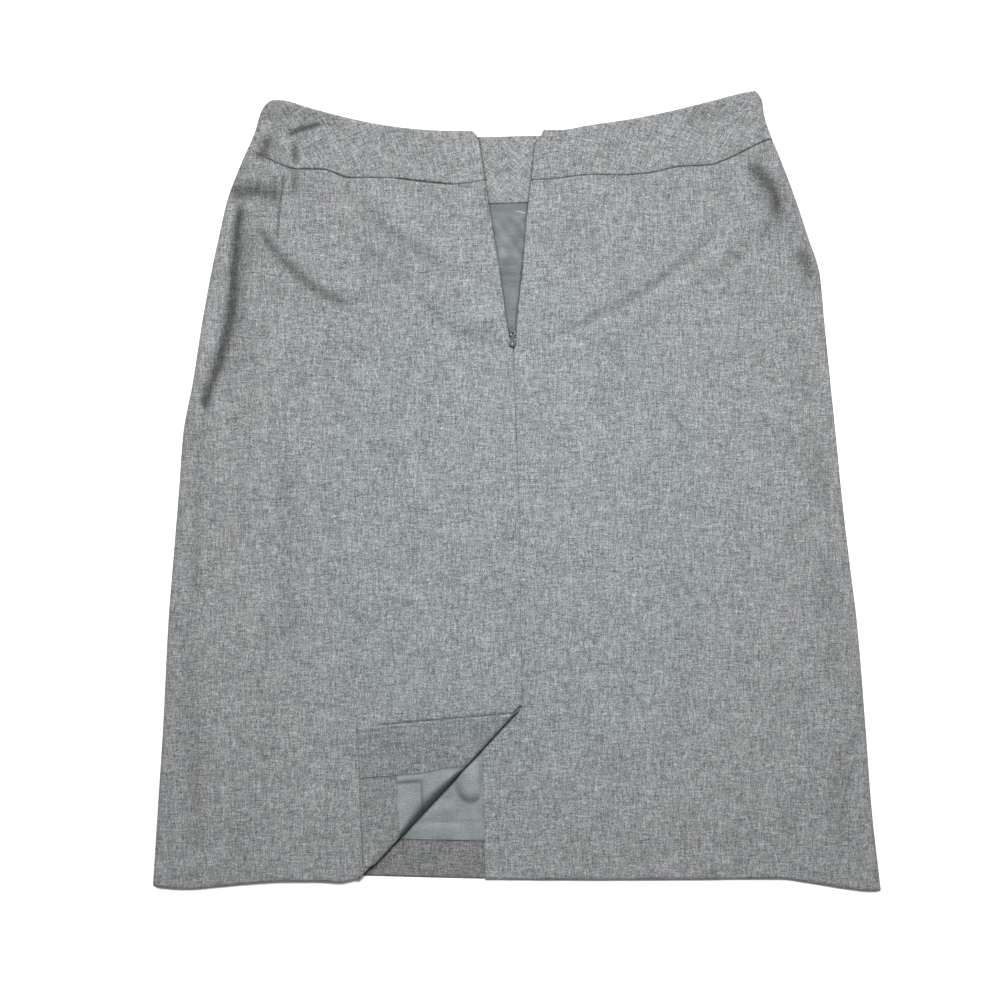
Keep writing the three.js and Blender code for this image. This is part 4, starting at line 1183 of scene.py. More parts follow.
@dataclass
class BackPieces:
    """Panels and yokes of the back, with the corner that is turned over at the vent."""

    plan: SkirtPlan
    surface: BackSurface
    wardrobe: Wardrobe
    spacing: float = 2.15
    yoke_spacing: float = 1.7
    yoke_length: float = 38
    fold_shares: tuple[float, float] = (0.004, 0.985)
    fold_rows: tuple[int, int] = (50, 42)
    side_steps: tuple[float, ...] = (0, 0.12, 0.45, 1, 1.8, 2.8, 4)
    seam_steps: tuple[float, ...] = (0, 0.4, 0.9, 1.5, 2.4, 3.6)
    hem_steps: tuple[float, ...] = (2.8, 1.7, 0.9, 0.35, 0.08, 0)
    waist_steps: tuple[float, ...] = (0, 0.08, 0.35, 0.9, 1.7, 2.8)
    roll_steps: int = 9
    flap_steps: int = 52
    flap_crowding: float = 1.12

    def panel_rows(self) -> tuple[Array, int]:
        """Finds the rows of a panel, one of them on the turned corner's tip.

        Returns:
            Shares of the panel's length, and how many of them lie above the fold.
        """
        plan = self.plan
        (first, last), (rows_above, rows_below) = self.fold_shares, self.fold_rows
        top = float(plan.left_seam(-9.5)) - self.seam_steps[-1]
        bottom_x, _ = plan.fold_place(1, plan.roll_in)
        bottom = float(plan.back_hem(bottom_x)) + self.hem_steps[0]
        first_y = plan.fold_place(first, plan.roll_in)[1]
        upper = np.linspace(top, first_y, round((top - first_y) / self.spacing))[1:-1]
        above = np.linspace(first, plan.tip_share, rows_above)
        below = np.linspace(plan.tip_share, last, rows_below)[1:]
        ys = np.concatenate([upper, plan.fold_place(np.concatenate([above, below]), plan.roll_in)[1]])
        return (top - ys) / (top - bottom), len(upper)

    def plain(self, height: Curve, grain: Grain = Grain.STRAIGHT, lower: Curve | None = None) -> Callable:
        """Returns what places the points of a piece that has one height in plan."""

        def place(x: Array, y: Array) -> Placed:
            """Places points given by their plan."""
            u, v = threads(x, y, grain, lower)
            return Placed(x, y, height(x, y), u, v, self.surface.tone(x, y))

        return place

    def turned_corner(self, edge_x: Array, edge_y: Array) -> ClothGrid:
        """Lays the grid of the roll and the turned corner.

        Args:
            edge_x: Where the panel's rows end, across the skirt.
            edge_y: Where they end, along it.

        Returns:
            The grid, whose first column is the panel's last one.
        """
        plan, sizes = self.plan, self.plan.sizes
        share, _ = plan.from_fold(edge_x, edge_y)
        radius = sizes.roll_radius
        roll = np.arange(self.roll_steps + 1) / (self.roll_steps + 1) * math.pi * radius
        out = (np.arange(self.flap_steps + 1) / self.flap_steps) ** self.flap_crowding
        reach = plan.flap_reach(share)[:, None] - plan.roll_in
        run = np.concatenate([np.repeat(roll[None], len(share), 0), math.pi * radius + reach * out], 1)
        limit = np.maximum((share.max() - share) * plan.fold_length, 0.05)
        run = run * np.minimum(1, limit / run.max(axis=1))[:, None]

        def place(distance: Array, at: Array) -> Placed:
            """Places points given by their distance over the fold and their share of its length."""
            edge = self.surface.left_panel(*plan.fold_place(at, plan.roll_in))
            angle = np.clip(distance / radius, 0, math.pi)
            past = np.maximum(distance - math.pi * radius, 0)
            inward = plan.roll_in - radius * np.sin(angle) + past
            x, y = plan.fold_place(at, inward)
            rolled = edge + radius * (1 - np.cos(angle))
            z = np.where(past > 0, self.corner_height(x, y), rolled)
            return Placed(x, y, z, x, y, self.surface.tone(x, y))

        return ClothGrid(run, np.repeat(share[:, None], run.shape[1], 1), place)

    def corner_height(self, x: Array, y: Array) -> Array:
        """Returns the height of the turned corner's outer face, which lies on the panel."""
        sizes = self.plan.sizes
        _, inward = self.plan.from_fold(x, y)
        curl = (2 * sizes.roll_radius - sizes.flap_gap) * (1 - smooth((inward - self.plan.roll_in) / 30))
        return sizes.rest_height + self.surface.lift(x, y) + sizes.flap_gap + curl

    def build(self) -> list[bpy.types.Object]:
        """Builds the four pieces.

        Returns:
            The pieces.
        """
        plan, surface = self.plan, self.surface
        gap = plan.sizes.seam_gap / 2
        wool = self.wardrobe.of(self.wardrobe.outside)
        darts = [fold for fold in surface.relief.folds if fold.width < 1]
        rows, above = self.panel_rows()
        yoke_rows = even_shares(self.yoke_length, self.yoke_spacing)
        panel = ("front_lining_sheet", (self.seam_steps, self.hem_steps), rows)
        yoke = ("front_facing_sheet", (self.waist_steps, self.seam_steps[::-1]), yoke_rows)
        left, right = (self.side_steps, self.seam_steps), (self.seam_steps, self.side_steps)
        plans = (
            ("left_panel", (0.31, 0.62), 0.158, panel, left, 124,
             self.plain(surface.left_panel), darts[:1],
             (plan.left_side, plan.left_panel_right, lambda x: plan.left_seam(x) - gap, plan.back_hem)),
            ("right_panel", (0.33, 0.62), 0.160, panel, right, 126,
             self.plain(surface.right_panel), darts[1:],
             (plan.right_panel_left, plan.right_side, lambda x: plan.right_seam(x) - gap, plan.back_hem)),
            ("left_yoke", (0.205, 0.07), 0.0086, yoke, left, 104,
             self.plain(surface.left_yoke, Grain.YOKE, plan.left_seam), (),
             (plan.left_side, plan.left_centre, plan.left_waist, lambda x: plan.left_seam(x) + gap)),
            ("right_yoke", (0.205, 0.07), 0.0086, yoke, right, 104,
             self.plain(surface.right_yoke, Grain.YOKE, plan.right_seam), (),
             (plan.right_centre, plan.right_side, plan.right_waist, lambda x: plan.right_seam(x) + gap)),
        )
        made = []
        for name, flat, area, (under, ends, shares), sides, across, place, refine, edges in plans:
            x, y = edge_grid(*edges, sides, across, ends, shares)
            grids = [ClothGrid(x, y, place)]
            if name == "left_panel":
                first = len(self.seam_steps) + above
                grids.append(self.turned_corner(x[first:, -1], y[first:, -1]))
            piece = SheetPiece(name, f"back_{name}", "wool", flat, area, (under,), plan.sizes.wool)
            made.append(piece.make(grids, wool, refine))
        return made


@dataclass
class FrontLayers:
    """The front of the skirt, under the back: yoke, panel, facing, lining and turned-up hem."""

    plan: SkirtPlan
    wardrobe: Wardrobe
    wall: float = 1.0
    bulge_centre: tuple[float, float] = (-38.0, -236.0)
    bulge_size: tuple[float, float] = (12.5, 19.5)
    bulge_height: float = 3.2

    def columns(self, fine: float, coarse: float) -> Array:
        """Returns column shares that are fine where the zip and the vent stand open."""
        left = np.arange(-290, -135, coarse)
        middle = np.concatenate([np.arange(-135, -40, fine), np.arange(-40, 26, fine / 2)])
        right = np.arange(28, 291, coarse)
        return (np.concatenate([left, middle, right]) + 292) / 584

    def grid(self, edges: tuple[Curve, Curve, Curve, Curve], ys: Array, shares: Array) -> tuple[Array, Array]:
        """Lays a grid with given column shares between four edges.

        Args:
            edges: Left, right, top and bottom.
            ys: Heights in plan of the rows along the middle, from the top edge's to the bottom edge's.
            shares: Column shares from 0 to 1.

        Returns:
            The x and y of the grid.
        """
        left, right, top, bottom = edges
        shares = np.concatenate([[0], shares, [1]])
        part = ((ys[0] - ys) / (ys[0] - ys[-1]))[:, None]
        y = np.repeat(ys[:, None], len(shares), 1).astype(float)
        rounds, settle = 30, 0.6
        for _ in range(rounds):
            x = mix(left(y), right(y), shares[None])
            y = mix(y, mix(top(x), bottom(x), part), settle)
        return mix(left(y), right(y), shares[None]), y

    def opening_painted_shade(self, x: Array, y: Array) -> Array:
        """Returns the painted shade on what shows in the open zip, along its two edges."""
        left = np.maximum(x - self.plan.left_centre(y), 0)
        right = np.maximum(self.plan.right_centre(y) - x, 0)
        shade = 0.34 * np.exp(-left / 2.8) + 0.26 * np.exp(-right / 1.8)
        return np.where(y > self.plan.sizes.zip_end, 1 - shade, 1)

    def on_bulge(self, x: Array, y: Array) -> tuple[Array, Array]:
        """Returns places measured from the bulge's middle, as shares of its half width and length."""
        across = (x - self.bulge_centre[0]) / self.bulge_size[0]
        return across, (y - self.bulge_centre[1]) / self.bulge_size[1]

    def bulge_painted_light(self, x: Array, y: Array) -> Array:
        """Returns the lining's painted light round the bulge in the vent: painted shade along its lower rim
        and over its upper part, and a painted highlight on its middle below that.
        """
        across, along = self.on_bulge(x, y)
        reach = np.hypot(across, along) + 1e-6
        facing = smooth((-across * 0.2 - along * 0.98) / reach * 1.7 - 0.6)
        rim = smooth((reach - 0.4) / 0.55) * (1 - smooth((reach - 0.98) / 0.1)) * facing
        top = np.clip(1 - reach, 0, 1)
        above = smooth((y + 232) / 20) * (reach < 1.3)
        return 1 - 0.36 * rim + 0.16 * top * (1 - above) - 0.12 * above

    def lining_height(self, x: Array, y: Array) -> Array:
        """Returns the height of the front lining, with its pleat, its folds and the bulge in the vent."""
        plan, sizes = self.plan, self.plan.sizes
        height = sizes.inner_layer + 0.22 * Waves(21, 26)(x, y)
        below_facing = plan.front_seam(x) - y
        height = height - 0.3 * (1 - smooth(below_facing / 7.5)) * smooth(below_facing / 1.2 + 1)
        window = np.exp(-(((x + 6) / 16) ** 2)) * smooth((232 - y) / 8) * smooth((y - 176) / 14)
        height = height + 0.9 * window * (0.55 + 0.45 * np.sin(x / 3.6 + y / 17))
        height = height - 0.55 * np.exp(-(((y - 177) / 1.3) ** 2))
        across, along = self.on_bulge(x, y)
        dome = np.clip(1 - across**2 - along**2, 0, 1) ** 0.55 * smooth((-28.2 - x) / 3.5)
        height = height + self.bulge_height * dome
        for fold in (
            Crease(((-118, -290), (-80, -286), (-34, -284)), 2.0, -0.45, fade=0.2),
            Crease(((-100, -280), (-70, -277), (-36, -276)), 2.6, 0.6, fade=0.2),
            Crease(((-96, -268), (-66, -262), (-44, -262)), 4, 0.5, fade=0.3),
            Crease(((-76, -252), (-60, -246), (-48, -252)), 4, 0.4, fade=0.3),
        ):
            height = height + fold.height * fold.share_at(x, y)
        hem = y - plan.lining_hem(x)
        return np.maximum(height - 0.8 * np.exp(-hem / 0.8), 1.75)

    def build(self) -> list[bpy.types.Object]:
        """Builds the five pieces.

        Returns:
            The pieces.
        """
        plan, sizes, wardrobe = self.plan, self.plan.sizes, self.wardrobe
        outer = (lambda y: plan.left_side(y) + 0.5, lambda y: plan.right_side(y) - 0.5)
        inset = sizes.trim_inset
        inner = (lambda y: plan.left_side(y) + inset, lambda y: plan.right_side(y) - inset)
        fine = self.columns(2.0, 8.0)
        wide = even_shares(560, 8)

        def level(height: float, grain: Grain = Grain.STRAIGHT) -> Callable:
            """Returns what places a layer at one height."""

            def place(x: Array, y: Array) -> Placed:
                """Places points given by their plan."""
                u, v = threads(x, y, grain)
                return Placed(x, y, height + 0 * x, u, v, np.ones(x.shape))

            return place

        def waist_facing(x: Array, y: Array) -> Placed:
            """Places the facing, whose top edge rolls into the waist."""
            u, v = threads(x, y, Grain.BIAS)
            top = plan.front_waist(x) - y
            z = sizes.inner_layer + 0.25 * Waves(31, 24)(x, y) - 0.9 * np.exp(-top / 0.9)
            seam = y - plan.front_seam(x)
            # Painted shade along the zip's two edges.
            return Placed(x, y, z - 0.25 * np.exp(-seam / 0.8), u, v, self.opening_painted_shade(x, y))

        def lining(x: Array, y: Array) -> Placed:
            """Places the lining, with painted shade in the pleat under the facing, in a low band across the
            zip's opening and over the opening's upper part, and painted sheen patches in the opening.
            """
            below = plan.front_seam(x) - y
            # Painted shade in the pleat under the facing.
            pleat = 1 - 0.20 * smooth(below / 0.8) * (1 - smooth((below - 6) / 2.0))
            # Painted shade in a low band across the zip's opening.
            low = 1 - 0.13 * smooth((179 - y) / 2) * smooth((y - 166) / 6)
            # Painted shade over the upper part, where the zip stands open.
            inside = 1 - 0.40 * smooth((y - 60) / 40)
            # Painted sheen on the satin in the opening: uneven lighter and darker patches, one painted
            # highlight and one patch of painted shade.
            patch = 1 + 0.2 * smooth((y - 180) / 6) * smooth((228 - y) / 6) * Waves(51, 13)(x, y)
            patch = patch + 0.16 * np.exp(-(((x + 11) / 5) ** 2) - (((y - 204) / 15) ** 2))
            patch = patch - 0.18 * np.exp(-(((x - 1.5) / 5) ** 2) - (((y - 205) / 11) ** 2))
            tone = pleat * low * inside * patch * self.opening_painted_shade(x, y)
            # Painted shade and highlight of the bulge, and the painted shadow of the turned corner's fold.
            tone = tone * self.bulge_painted_light(x, y) * plan.painted_fold_shadow(x, y)
            return Placed(x, y, self.lining_height(x, y), x, y, tone)

        def turn_up(x: Array, y: Array) -> Placed:
            """Places the turned-up hem, which rolls into the hem's fold."""
            hem = y - plan.front_hem(x)
            z = sizes.inner_layer - 0.2 + 0.12 * Waves(17, 30)(x, y) - 0.9 * np.exp(-(hem - 0.4) / 0.9)
            top = plan.lining_hem(x) - y
            # Painted shadow just under the lining's hem, and the painted shadow of the turned corner's fold.
            tone = (1 - 0.5 * np.exp(-((top / 1.3) ** 2))) * plan.painted_fold_shadow(x, y)
            return Placed(x, y, z - 0.3 * np.exp(-top / 0.8), x, y, tone)

        yoke = (*outer, plan.front_waist, plan.front_seam)
        panel = (*outer, lambda x: plan.front_seam(x) - 0.3, plan.front_hem)
        facing = (*inner, lambda x: plan.front_waist(x) - 0.4, lambda x: plan.front_seam(x) + 0.3)
        lined = (*inner, plan.front_seam, plan.lining_hem)
        turned = (
            lambda y: plan.left_side(y) + sizes.turn_up_inset,
            lambda y: plan.right_side(y) - sizes.turn_up_inset,
            lambda x: plan.lining_hem(x) - 0.35,
            lambda x: plan.front_hem(x) + 0.5,
        )
        low_steps = np.array([-286.9, -286.7, -286.3, -285.6, -284.6])
        lining_ys = np.concatenate([
            np.arange(236.5, 118, -2.0), np.arange(116, -168, -8.0), np.arange(-170, -284, -2.0),
            low_steps[::-1], [-287.2],
        ])
        strip_ys = np.concatenate([
            [-287.5, -287.9, -288.6], np.arange(-290, -314, -1.8), [-315.5, -316.6, -317.3, -317.7],
        ])
        facing_ys = np.concatenate([
            [290, 289.6, 288.8, 287.6], np.arange(286, 239, -1.8), [238, 237.2, 236.8],
        ])
        front = "front_panel_sheet"
        wool, satin = wardrobe.of(wardrobe.outside), wardrobe.of(wardrobe.lining)
        plans = (
            (SheetPiece("front_yoke_sheet", "front_yoke", "wool", (0.43, 0.075), 0.0236, ("floor",),
                        self.wall),
             yoke, np.linspace(290, 236, 10), wide, level(self.wall), wool),
            (SheetPiece(front, "front_panel", "wool", (0.61, 0.57), 0.308, ("floor",), self.wall),
             panel, np.linspace(236, -318, 70), wide, level(self.wall), wool),
            (SheetPiece("front_facing_sheet", "front_yoke_facing", "wool", (0.42, 0.075), 0.0226,
                        ("front_yoke_sheet",), 0.8),
             facing, facing_ys, fine, waist_facing, wardrobe.of(wardrobe.facing)),
            (SheetPiece("front_lining_sheet", "front_lining", "satin_lining", (0.60, 0.54), 0.287, (front,),
                        sizes.lining),
             lined, lining_ys, fine, lining, satin),
            (SheetPiece("front_turn_up", "front_hem_turnup", "wool", (0.59, 0.031), 0.0168, (front,), 0.8),
             turned, strip_ys, fine, turn_up, wardrobe.of(wardrobe.turn_up)),
        )
        made = []
        for piece, edges, ys, shares, place, material in plans:
            x, y = self.grid(edges, ys, shares)
            made.append(piece.make([ClothGrid(x, y, place)], material))
        return made


@dataclass
class CornerTrims:
    """What lies on the turned corner: the vent's facing, the turned-up hem and the lining."""

    plan: SkirtPlan
    back: BackPieces
    wardrobe: Wardrobe
    spacing: float = 1.5
    depth: float = 2.5

    def on_corner(self, from_hem: Array, from_vent: Array) -> tuple[Array, Array, Array]:
        """Finds places on the trims' upper face, over the corner and round its fold.

        Args:
            from_hem: Distances from the hem's edge, along the vent's edge.
            from_vent: Distances from the vent's edge, along the hem's edge.

        Returns:
            Their x, y and z.
        """
        plan, sizes = self.plan, self.plan.sizes
        flat_x = plan.flap_tip[0] + from_hem * plan.vent_edge[0] + from_vent * plan.hem_edge[0]
        flat_y = plan.flap_tip[1] + from_hem * plan.vent_edge[1] + from_vent * plan.hem_edge[1]
        share, inward = plan.from_fold(flat_x, flat_y)
        radius = sizes.roll_radius + self.depth
        past = plan.roll_in - inward
        share = np.where(past > 0, np.clip(share, 0.012, 0.988), share)
        angle = np.clip(past / radius, 0, math.pi)
        under = np.maximum(past - math.pi * radius, 0)
        reached = np.where(past <= 0, inward, plan.roll_in - radius * np.sin(angle) + under)
        x, y = plan.fold_place(share, reached)
        edge_x, edge_y = plan.fold_place(share, plan.roll_in)
        edge = self.back.surface.left_panel(edge_x, edge_y)
        on_top = self.back.corner_height(x, y) + self.depth
        rolled = edge + sizes.roll_radius + radius * np.cos(angle)
        below = self.back.surface.left_panel(x, y) - self.depth
        z = np.where(past <= 0, on_top, np.where(under > 0, below, rolled))
        return x, y, z

    def grid(
        self, hem_from: float, vent_from: float, vent_to: float, place: Callable, hem_to: float | None = None
    ) -> ClothGrid:
        """Lays the grid of one trim, which ends under the panel or at a line from the hem's edge.

        Args:
            hem_from: Where it starts, from the hem's edge.
            vent_from: Where it starts, from the vent's edge.
            vent_to: Where it ends, from the vent's edge.
            place: What puts its points in place.
            hem_to: Where it ends, from the hem's edge, if that comes before the panel.

        Returns:
            The grid.
        """
        plan, sizes = self.plan, self.plan.sizes
        tuck = math.pi * (sizes.roll_radius + self.depth) + sizes.vent_tuck
        steps = [0, 0.12, 0.4, 0.9, 1.6]
        width = vent_to - vent_from
        inner = even_shares(1, self.spacing / width) * (width - 2 * steps[-1]) + steps[-1]
        rows = np.concatenate([steps, inner, width - np.array(steps[::-1])]) + vent_from
        slope = float(plan.vent_edge @ plan.fold_inward)
        start = plan.tip_inward + rows * float(plan.hem_edge @ plan.fold_inward)
        end = (start - (plan.roll_in - tuck)) / -slope
        if hem_to is not None:
            end = np.minimum(end, hem_to)
        length = np.maximum(end - hem_from, 0.5)
        count = round(float(length.max()) / self.spacing)
        share = np.concatenate([[0, 0.001, 0.003, 0.007], np.linspace(0.012, 1, count)])
        p = hem_from + length[:, None] * share[None]
        return ClothGrid(p, np.repeat(rows[:, None], len(share), 1), place)

    def build(self) -> list[bpy.types.Object]:
        """Builds the three trims.

        Returns:
            The pieces.
        """
        sizes, wardrobe = self.plan.sizes, self.wardrobe
        facing_width, turn_up = sizes.vent_facing_width, sizes.hem_turn_up
        swell, ripple = Waves(41, 30), Waves(43, 14)

        def wavy(a: Array, b: Array) -> tuple[Array, Array, Array]:
            """Returns places on the trims with their soft waves, the facing wider towards the hem."""
            wider = mix(1.8, -0.7, smooth((a - 48) / 24))
            x, y, z = self.on_corner(a, b + wider * np.clip(b / facing_width, 0, 1))
            return x, y, z + 0.22 * swell(a, b) + 0.07 * ripple(a, b)

        def folded(x: Array, y: Array) -> Array:
            """Returns the painted shade on the wool where it goes round the fold."""
            _, inward = self.plan.from_fold(x, y)
            return 1 - 0.4 * np.exp(-((np.maximum(inward, 0) / 1.0) ** 2))

        def round_down(a: Array, b: Array) -> Array:
            """Returns how far the folded edges of the cloth drop at the vent's edge and the hem's edge."""
            drop = 1 - np.sqrt(1 - np.clip(1 - np.minimum(a, b) / 1.6, 0, 1) ** 2)
            return 1.9 * drop

        def facing(a: Array, b: Array) -> Placed:
            """Places the vent's facing."""
            x, y, z = wavy(a, b)
            z = z - round_down(a, b) + 0.25 - 0.35 * np.exp(-(facing_width - b) / 0.8)
            # Painted shade round the fold, and painted highlights along the vent's and the hem's turned
            # edges.
            tone = folded(x, y) * (1.05 + 0.2 * np.exp(-((b / 1.1) ** 2)) + 0.3 * np.exp(-((a / 1.5) ** 2)))
            for fold in (
                Crease(((5, 14.5), (45, 17.5), (92, 22)), 1.6, -0.35, 0.13),
                Crease(((8, 18), (45, 21), (90, 26)), 2.4, 0.3),
                Crease(((55, 11), (55.5, 26), (55, 40)), 1.8, -0.35, 0.13),
                Crease(((30, 30), (60, 33), (80, 30)), 3, -0.3, 0.05),
            ):
                acts = fold.share_at(a, b)
                z = z + fold.height * acts
                # Painted shade in each crease.
                tone = tone - fold.painted_shade * acts
            return Placed(x, y, z, a, b, tone)

        def hem(a: Array, b: Array) -> Placed:
            """Places the turned-up hem."""
            x, y, z = wavy(a, b)
            z = z - round_down(a, b + 10) - 0.5 * np.exp(-(b - facing_width) / 1.2)
            # Painted shade along the join with the facing, and a painted highlight on the hem's turned edge.
            beside = 1 - 0.45 * np.exp(-(((b - facing_width) / 1.6) ** 2))
            edge = 1.1 + 0.3 * np.exp(-((a / 1.5) ** 2))
            return Placed(x, y, z, a, b, folded(x, y) * beside * edge)

        def lining(a: Array, b: Array) -> Placed:
            """Places the lining, with its rolled hem, its seam, the painted shade of the fold, and painted
            shade in the groove under the rolled hem, along its first edge and in the seam.
            """
            x, y, z = wavy(a, b)
            in_band = b - facing_width
            roll = 1.1 * np.sqrt(np.clip(1 - ((in_band - 3) / 3) ** 2, 0, 1)) * (1 - smooth((a - 50) / 5))
            groove = 0.7 * np.exp(-(((in_band - 6.6) / 0.8) ** 2)) * (1 - smooth((a - 46) / 8))
            puff = 0.5 * np.exp(-(((a - 72) / 12) ** 2) - ((b - 50) / 9) ** 2)
            share, inward = self.plan.from_fold(x, y)
            by_seam = np.exp(-(((a - 50.5) / 0.9) ** 2)) * smooth((b - 46) / 2)
            width = 0.8 + 7.4 * np.sin(math.pi * np.clip((share - 0.37) / 0.43, 0, 1)) ** 0.8
            shade = 1 - 0.74 * (1 - smooth((inward - 0.25 * width) / (0.95 * width)))
            # Painted shade in the groove under the rolled hem, along the lining's first edge and in the seam.
            under = 1 - 0.68 * np.exp(-(((in_band - 6.6) / 0.9) ** 2)) * (1 - smooth((a - 47) / 5))
            first = 1 - 0.4 * np.exp(-((in_band / 1.2) ** 2))
            tone = shade * under * first * (1 - 0.36 * by_seam)
            return Placed(x, y, z + roll - groove - 0.45 * by_seam + puff - 0.2, a, b, tone)

        gap = sizes.seam_gap / 2
        plans = (
            ("vent_facing_sheet", "vent_facing", "wool", (0.152, 0.04), 0.0053, wardrobe.inside, 0.8,
             self.grid(0, 0, facing_width - gap, facing)),
            ("corner_turn_up", "flap_hem_turnup", "wool", (0.031, 0.105), 0.0029, wardrobe.inside, 0.8,
             self.grid(0, facing_width + gap, 112, hem, turn_up - gap)),
            ("corner_lining", "flap_lining", "satin_lining", (0.08, 0.068), 0.00275, wardrobe.lining, 0.5,
             self.grid(turn_up + gap, facing_width + gap, 104, lining)),
        )
        made = []
        for name, node, slot, flat, area, finish, wall, grid in plans:
            piece = SheetPiece(name, node, slot, flat, area, ("left_panel",), wall)
            made.append(piece.make([grid], wardrobe.of(finish)))
        return made


@dataclass
class Zip:
    """The open zip: its tapes, its coils, its slider and its pull tab."""

    plan: SkirtPlan
    wardrobe: Wardrobe
    coil_pitch: float = 1.3
    coil_wire: float = 0.2
    coil_radius: float = 0.48
    coil_out: float = 0.55
    coil_height: float = 3.1
    coil_ends: tuple[float, float] = (287.5, 127)
    tape_ends: tuple[float, float] = (286, 125)
    tape_grid: tuple[int, int] = (110, 9)
    bevels: tuple[tuple[str, float], ...] = (("zip_slider", 0.00022), ("zip_pull_tab", 0.0002))

    def tape(self, side: int) -> bpy.types.Object:
        """Builds one tape.

        Args:
            side: -1 for the left one, 1 for the right one.

        Returns:
            The tape.
        """
        plan, sizes = self.plan, self.plan.sizes
        rows, columns = self.tape_grid
        ys = np.linspace(*self.tape_ends, rows)
        edge = plan.left_centre(ys) if side < 0 else plan.right_centre(ys)
        inner = edge - side * sizes.tape_show
        outer = inner + side * sizes.tape_width
        left, right = (outer, inner) if side < 0 else (inner, outer)
        shares = np.linspace(0, 1, columns)
        x = mix(left[:, None], right[:, None], shares[None])
        y = np.repeat(ys[:, None], len(shares), 1)

        def place(x: Array, y: Array) -> Placed:
            """Places the tape's points."""
            return Placed(x, y, sizes.tape_top - 0.1 + 0 * x, x, y, np.ones(x.shape))

        name = f"tape_{SIDES[side]}"
        piece = SheetPiece(
            name, f"zip_{name}", "zip_tape", (0.01, 0.162), 0.00137, ("front_lining_sheet",), 0.6
        )
        return piece.make([ClothGrid(x, y, place)], self.wardrobe.of(self.wardrobe.tape))

    def coils(self, side: int) -> bpy.types.Object:
        """Builds one row of coil teeth along a tape's edge.

        Args:
            side: -1 for the left one, 1 for the right one.

        Returns:
            The coils.
        """
        plan = self.plan
        bm = bmesh.new()
        y, last = self.coil_ends
        while y > last:
            edge = float(plan.left_centre(y) if side < 0 else plan.right_centre(y))
            x = edge - side * self.coil_out
            ring = bmesh.ops.create_circle(bm, segments=6, radius=self.coil_wire)["verts"]
            bmesh.ops.translate(bm, verts=ring, vec=(self.coil_radius, 0, 0))
            bmesh.ops.rotate(
                bm, verts=ring, cent=(0, 0, 0), matrix=Matrix.Rotation(math.pi / 2, 3, "X")
            )
            edges = list({edge for vertex in ring for edge in vertex.link_edges})
            turned = bmesh.ops.spin(
                bm, geom=ring + edges, cent=(0, 0, 0), axis=(0, 1, 0), angle=2 * math.pi, steps=9,
                use_merge=True, dvec=(0, 0, 0),
            )
            ends = [v for v in turned["geom_last"] if isinstance(v, bmesh.types.BMVert)]
            linked = self.linked(list({*ring, *ends}))
            bmesh.ops.translate(bm, verts=linked, vec=(x, y, self.coil_height))
            y -= self.coil_pitch
        bmesh.ops.recalc_face_normals(bm, faces=bm.faces)
        bmesh.ops.scale(bm, verts=bm.verts, vec=(MM, MM, MM))
        return new_piece(bm, f"coil_{SIDES[side]}", self.wardrobe.of(self.wardrobe.coil), "zip_tape")

    @staticmethod
    def linked(start: Sequence[bmesh.types.BMVert]) -> list[bmesh.types.BMVert]:
        """Returns all the vertices joined to the given ones by edges."""
        found, queue = set(start), list(start)
        while queue:
            for edge in queue.pop().link_edges:
                for vertex in edge.verts:
                    if vertex not in found:
                        found.add(vertex)
                        queue.append(vertex)
        return list(found)

    def build(self) -> list[bpy.types.Object]:
        """Builds the tapes and the coils, and dresses the slider and the pull tab.

        Returns:
            The pieces made.
        """
        metal = self.wardrobe.of(self.wardrobe.metal)
        for node, width in self.bevels:
            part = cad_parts[node]
            for place in part.material_slots:
                place.material = metal
            bevel = part.modifiers.new("soft edges", "BEVEL")
            bevel.width = width
            bevel.segments = 3
            bevel.limit_method = "ANGLE"
            log.info("%s: enamelled", node)
        return [build(side) for build in (self.tape, self.coils) for side in SIDES]


class Stitch(NamedTuple):
    """One visible stitch: its middle, its direction in plan and its length, in millimetres."""

    x: float
    y: float
    z: float
    angle: float
    length: float


